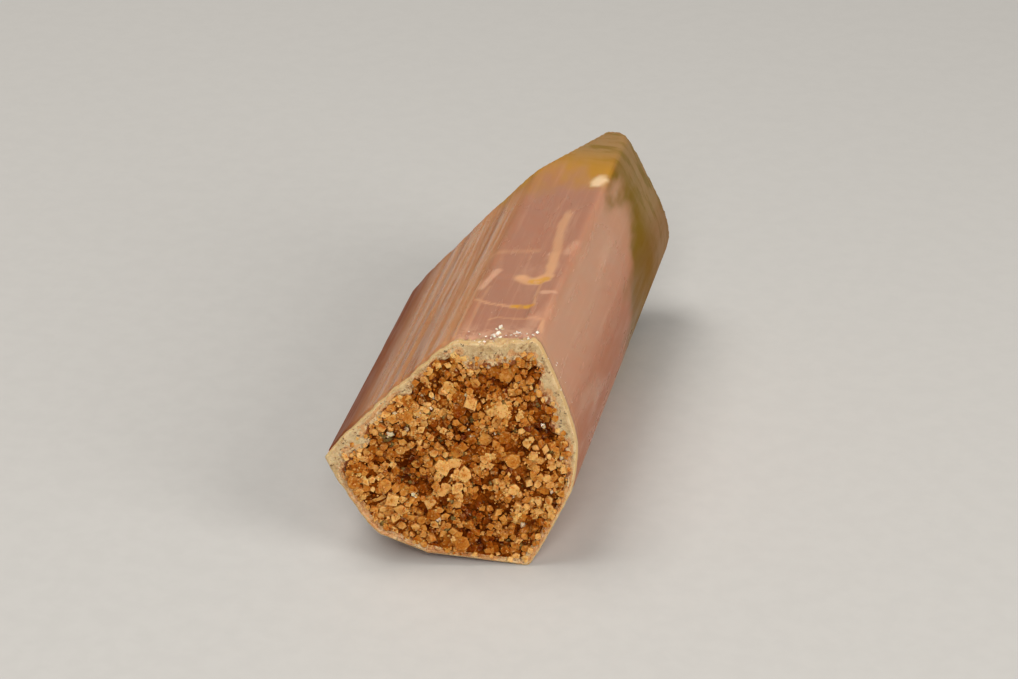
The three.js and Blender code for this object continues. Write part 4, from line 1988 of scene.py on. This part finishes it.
@dataclass
class GrainCrust:
    """The crust of small grains that fills the break inside its lip."""

    surface: Surface
    compass: Compass
    seat: Seat
    crust: CrustMap = CrustMap()
    moulds: GrainMoulds = GrainMoulds()
    tint: GrainTint = GrainTint()
    crease: float = 24.0
    seed: int = 7
    sizes: tuple[GrainSize, ...] = (
        GrainSize(Zone.CRUST, 0.28, 0.44, 1000, 0.66, 0.0, 0.0, 14.0, 0.0, 0.55),
        GrainSize(Zone.CRUST, 0.17, 0.26, 6000, 0.6, 0.03, 0.25, 24.0, 0.0),
        GrainSize(Zone.CRUST, 0.1, 0.16, 9000, 0.62, 0.05, 0.5, 34.0, 0.4),
        GrainSize(Zone.CRUST, 0.05, 0.085, 12000, 0.8, 0.08, 1.0, 30.0, 1.0),
        GrainSize(Zone.CRUST, 0.03, 0.065, 2400, 0.0, -0.05, 1.0, 30.0, 0.0),
        GrainSize(Zone.LIP, 0.1, 0.2, 2000, 0.85, 0.02, 0.5, 16.0, 0.0),
        GrainSize(Zone.RIM, 0.05, 0.1, 60, 1.1, 0.05, 1.0, 30.0, 0.0),
    )
    glint: GrainSize = GrainSize(Zone.GLINT, 0.0, 0.0, 0, 0.0, 0.0, 1.0, 0.0, 0.0)
    # Loose grains smaller than this are crumbs.
    crumb_size: float = 0.1
    # Grains are tried at places from this far on either side of the axis, and up to this height.
    side_reach: float = 6.0
    top_reach: float = 11.4
    # How far a grain's top lies above the crust's own level, and how much less where grains have fused.
    levels: Pair = (-0.09, 0.06)
    fused_calm: float = 0.6
    lip_calm: float = 0.3
    widths: Pair = (0.8, 1.35)
    depths: Pair = (0.7, 1.0)
    # How far below its top, in radii, the middle of a loose grain and that of a glint lie.
    burial: float = 0.62
    glint_burial: float = 0.3
    glint_reach: float = 1.25
    # The room that the crust's grains keep from the lip, in radii, and how far they may overlap it.
    crust_room: float = 0.3
    lip_overlap: float = 0.06
    # The same for the lip's grains, inwards and outwards, and the share of the lip that they leave.
    lip_rooms: Pair = (0.5, 0.7)
    lip_share: float = 0.5
    # The rim's grains: their bearings from the section's middle, and how they lie behind the break.
    rim_bearings: Pair = (20.0, 96.0)
    rim_gap: float = 0.12
    rim_crowding: float = 2.2
    rim_sink: float = 0.03

    def build(self) -> bpy.types.Object:
        """Builds the piece and dresses it.

        Returns:
            The piece.
        """
        chance = random.Random(self.seed)
        bm = bmesh.new()
        bm.verts.layers.float_color.new("tint")
        bm.verts.layers.float.new("matt")
        columns, nuggets, crumbs = self.moulds.cast(bm, chance)
        grains = self._scatter(chance) + [Grain(x, y, radius, self.glint) for x, y, radius in GLINTS]
        for grain in grains:
            loose = chance.random() < grain.size.loose
            shapes = columns
            if loose:
                shapes = crumbs if grain.size.high < self.crumb_size else nuggets
            self._set_grain(bm, chance.choice(shapes), loose, grain, chance)
        patterns = [item for shape in columns + nuggets + crumbs for item in shape if isinstance(item, Vert)]
        bmesh.ops.delete(bm, geom=patterns, context="VERTS")
        LOG.info("crust of %d grains, %d faces", len(grains), len(bm.faces))
        # The glassy finish also carries the painted glints.
        finishes = (GrainFinish("sugary_grains", 0.04), GrainFinish("glassy_and_glint_grains", 0.5))
        return finished(bm, "grain_crust", self.seat, finishes, self.crease)

    def _scatter(self, chance: random.Random) -> list[Grain]:
        """Finds room for the grains, the largest first.

        Args:
            chance: the random numbers.

        Returns:
            The grains.
        """
        grains: list[Grain] = []
        cells: dict[tuple[Zone, int, int], list[Grain]] = {}
        for size in self.sizes:
            for _ in range(size.tries):
                x = chance.uniform(-self.side_reach, self.side_reach)
                z = chance.uniform(0.0, self.top_reach)
                grain = Grain(x, z, chance.uniform(size.low, size.high), size)
                if self.crust.fused(x, z) < size.fused or not self._belongs(grain):
                    continue
                column, row = math.floor(x), math.floor(z)
                near = [
                    other for dx in (-1, 0, 1) for dz in (-1, 0, 1)
                    for other in cells.get((size.zone, column + dx, row + dz), ())
                ]
                if all(self._clear(grain, other) for other in near):
                    cells.setdefault((size.zone, column, row), []).append(grain)
                    grains.append(grain)
        return grains

    @staticmethod
    def _clear(grain: Grain, other: Grain) -> bool:
        """Whether a new grain keeps its distance from another one."""
        gap = math.hypot(grain.x - other.x, grain.z - other.z)
        return gap > grain.size.spacing * (grain.radius + other.radius)

    def _belongs(self, grain: Grain) -> bool:
        """Checks a grain's place.

        Args:
            grain: the grain.

        Returns:
            Whether the place is in the grain's zone, with room for its radius.
        """
        if grain.size.zone is Zone.RIM:
            return True
        section, radius = self.surface.section, grain.radius
        rim = self.surface.place(self.compass.station(grain.x, grain.z), 0.0)
        reach = section.distance(rim.x, rim.z)
        width = self.surface.fracture.lip_width(grain.x, grain.z)
        out = section.distance(grain.x, grain.z)
        if grain.size.zone is Zone.CRUST:
            return out < reach - width - self.crust_room * radius + self.lip_overlap
        inner, outer = self.lip_rooms
        return reach - width - inner * radius < out < reach - self.lip_share * width - outer * radius

    def _set_grain(self, bm: Mesh, shape: list[Any], loose: bool, grain: Grain,
                   chance: random.Random) -> None:
        """Copies a grain into its place and tints it.

        Args:
            bm: the crust's mesh.
            shape: the geometry that is copied.
            loose: whether the grain lies any way up rather than on end.
            grain: the grain's place and size.
            chance: the random numbers.
        """
        radius = grain.radius
        top, out = self._lie(grain, chance)
        upright = out.to_track_quat("Z", "Y").to_matrix().to_4x4()
        spin = Matrix.Rotation(chance.uniform(0.0, TURN), 4, "Z")
        lean = Matrix.Rotation(math.radians(chance.uniform(0.0, grain.size.tilt)), 4, "X")
        wide, deep = chance.uniform(*self.widths), chance.uniform(*self.depths)
        spread = Matrix.Diagonal((radius * wide, radius, radius * deep, 1.0))
        if loose:
            middle = top - out * (self.burial * radius)
            turn = Euler([chance.uniform(0.0, TURN) for _ in range(3)]).to_matrix().to_4x4()
            if grain.size.zone is Zone.GLINT:
                ceiling = RIGHT_SHOULDER.z - self.glint_reach * radius
                middle.z = min(top.z - self.glint_burial * radius, ceiling)
        else:
            middle = top
            turn = upright @ spin @ lean @ Matrix.Rotation(chance.uniform(0.0, TURN), 4, "Z")
        verts = [item for item in bmesh.ops.duplicate(bm, geom=shape)["geom"] if isinstance(item, Vert)]
        move = Matrix.Translation(middle) @ turn @ spread
        for vert in verts:
            vert.co = move @ vert.co
        self.tint.paint(bm, verts, (top, out), grain, chance)

    def _lie(self, grain: Grain, chance: random.Random) -> tuple[Vector, Vector]:
        """Finds how a grain lies.

        Args:
            grain: the grain's place and size.
            chance: the random numbers.

        Returns:
            The middle of its top, and the way that it faces.
        """
        x, z, zone = grain.x, grain.z, grain.size.zone
        if zone is Zone.RIM:
            return self._rim_lie(x, z)
        fracture = self.surface.fracture
        if zone is Zone.GLINT:
            station = self.compass.station(x, RIGHT_SHOULDER.z)
            return self.surface.place(station, z - fracture.height(station.x, station.z)), Vector(UP)
        level = chance.uniform(*self.levels) * (1.0 - self.fused_calm * self.crust.fused(x, z))
        level -= grain.size.sink
        level = level + self.crust.rise(x, z) if zone is Zone.CRUST else self.lip_calm * level
        return fracture.on_plane(x, z) + fracture.unit() * level, fracture.unit()

    def _rim_lie(self, x: float, z: float) -> tuple[Vector, Vector]:
        """Finds how a grain lies on the top or right face just behind the break.

        Args:
            x: what its bearing from the section's middle is worked out from.
            z: what its distance behind the break is worked out from.

        Returns:
            The middle of its top, and the way that it faces.
        """
        section = self.surface.section
        bearing = math.radians(blend(*self.rim_bearings, (x + self.side_reach) / (2.0 * self.side_reach)))
        station = self.compass.station(
            section.middle_x + math.cos(bearing), section.middle_z + math.sin(bearing)
        )
        place = self.surface.place(station, self.rim_gap + (z / self.top_reach) ** self.rim_crowding)
        inward = Vector((station.inward[0], 0.0, station.inward[1]))
        return place + inward * self.rim_sink, -inward


# ---- Studio ----


@dataclass(frozen=True)
class SoftLight:
    """A square soft light, aimed at the crystal. Places and sizes are in metres."""

    name: str
    place: Triple
    side: float
    watts: float
    colour: Triple

    def hang(self, target: Vector) -> None:
        """Hangs the light and aims it at the target.

        Args:
            target: the place that it is aimed at.
        """
        lamp = bpy.data.lights.new(self.name, "AREA")
        lamp.shape = "SQUARE"
        lamp.size = self.side
        lamp.energy = self.watts
        lamp.color = self.colour
        hung = linked(self.name, lamp)
        hung.location = Vector(self.place)
        hung.rotation_euler = (target - hung.location).to_track_quat("-Z", "Y").to_euler()


@dataclass(frozen=True)
class Studio:
    """A plain pale floor, soft lights and the camera."""

    seat: Seat
    floor_side: float = 3.0
    floor_drop: float = 0.00001
    sky: Colour = (1.0, 0.985, 0.96, 1.0)
    sky_strength: float = 0.095
    lens: float = 106.09
    sensor: float = 36.0
    nearest: float = 0.005
    # From the toe of the break to the camera, in metres, and the way that the camera looks.
    camera_reach: Triple = (0.026397, -0.118915, 0.083145)
    camera_aim: Triple = (-0.1948, 0.8438, -0.5)
    target: Triple = (0.0, 0.0, 0.005)
    lights: tuple[SoftLight, ...] = (
        SoftLight("key", (-0.09, 0.03, 0.26), 0.14, 0.46, (1.0, 0.97, 0.93)),
        SoftLight("front", (0.04, -0.24, 0.2), 0.12, 0.43, (1.0, 0.98, 0.95)),
        SoftLight("side", (0.22, -0.08, 0.14), 0.14, 0.37, (1.0, 0.97, 0.93)),
    )

    def set_up(self) -> None:
        """Lays the floor, hangs the lights and places the camera."""
        self._lay_floor()
        for light in self.lights:
            light.hang(Vector(self.target))
        self._paint_sky()
        self._place_camera()

    def _lay_floor(self) -> None:
        """Lays the floor just under the crystal."""
        bm = bmesh.new()
        bmesh.ops.create_grid(bm, x_segments=2, y_segments=2, size=self.floor_side / 2.0)
        bmesh.ops.translate(bm, verts=bm.verts, vec=(0.0, 0.0, -self.floor_drop))
        mesh = bpy.data.meshes.new("studio_floor")
        bm.to_mesh(mesh)
        bm.free()
        mesh.materials.append(FloorFinish().material())
        floor = linked("studio_floor", mesh)

    def _paint_sky(self) -> None:
        """Fills the room with even light."""
        world = bpy.data.worlds.new("room")
        world.use_nodes = True
        background = world.node_tree.nodes["Background"]
        background.inputs["Color"].default_value = self.sky
        background.inputs["Strength"].default_value = self.sky_strength
        bpy.context.scene.world = world
        bpy.context.scene.view_settings.view_transform = "Standard"

    def _place_camera(self) -> None:
        """Places the camera."""
        camera = bpy.data.cameras.new("camera")
        camera.lens = self.lens
        camera.sensor_width = self.sensor
        camera.clip_start = self.nearest
        placed = linked("camera", camera)
        placed.location = self.seat.toe() + Vector(self.camera_reach)
        placed.rotation_euler = Vector(self.camera_aim).to_track_quat("-Z", "Y").to_euler()
        bpy.context.scene.camera = placed


def report(piece: bpy.types.Object) -> None:
    """Logs a piece's name and size."""
    piece.data.calc_loop_triangles()
    LOG.info("%s: %d triangles", piece.name, len(piece.data.loop_triangles))


def main() -> None:
    """Builds the crystal, its crust and the studio."""
    logging.basicConfig(level=logging.INFO, format="%(message)s")
    seat = Seat(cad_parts[NODE_NAME])
    surface = Surface()
    compass = Compass(surface.section)
    report(CrystalBody(surface, compass, seat).build())
    report(GrainCrust(surface, compass, seat).build())
    Studio(seat).set_up()


if __name__ == "__main__":
    main()
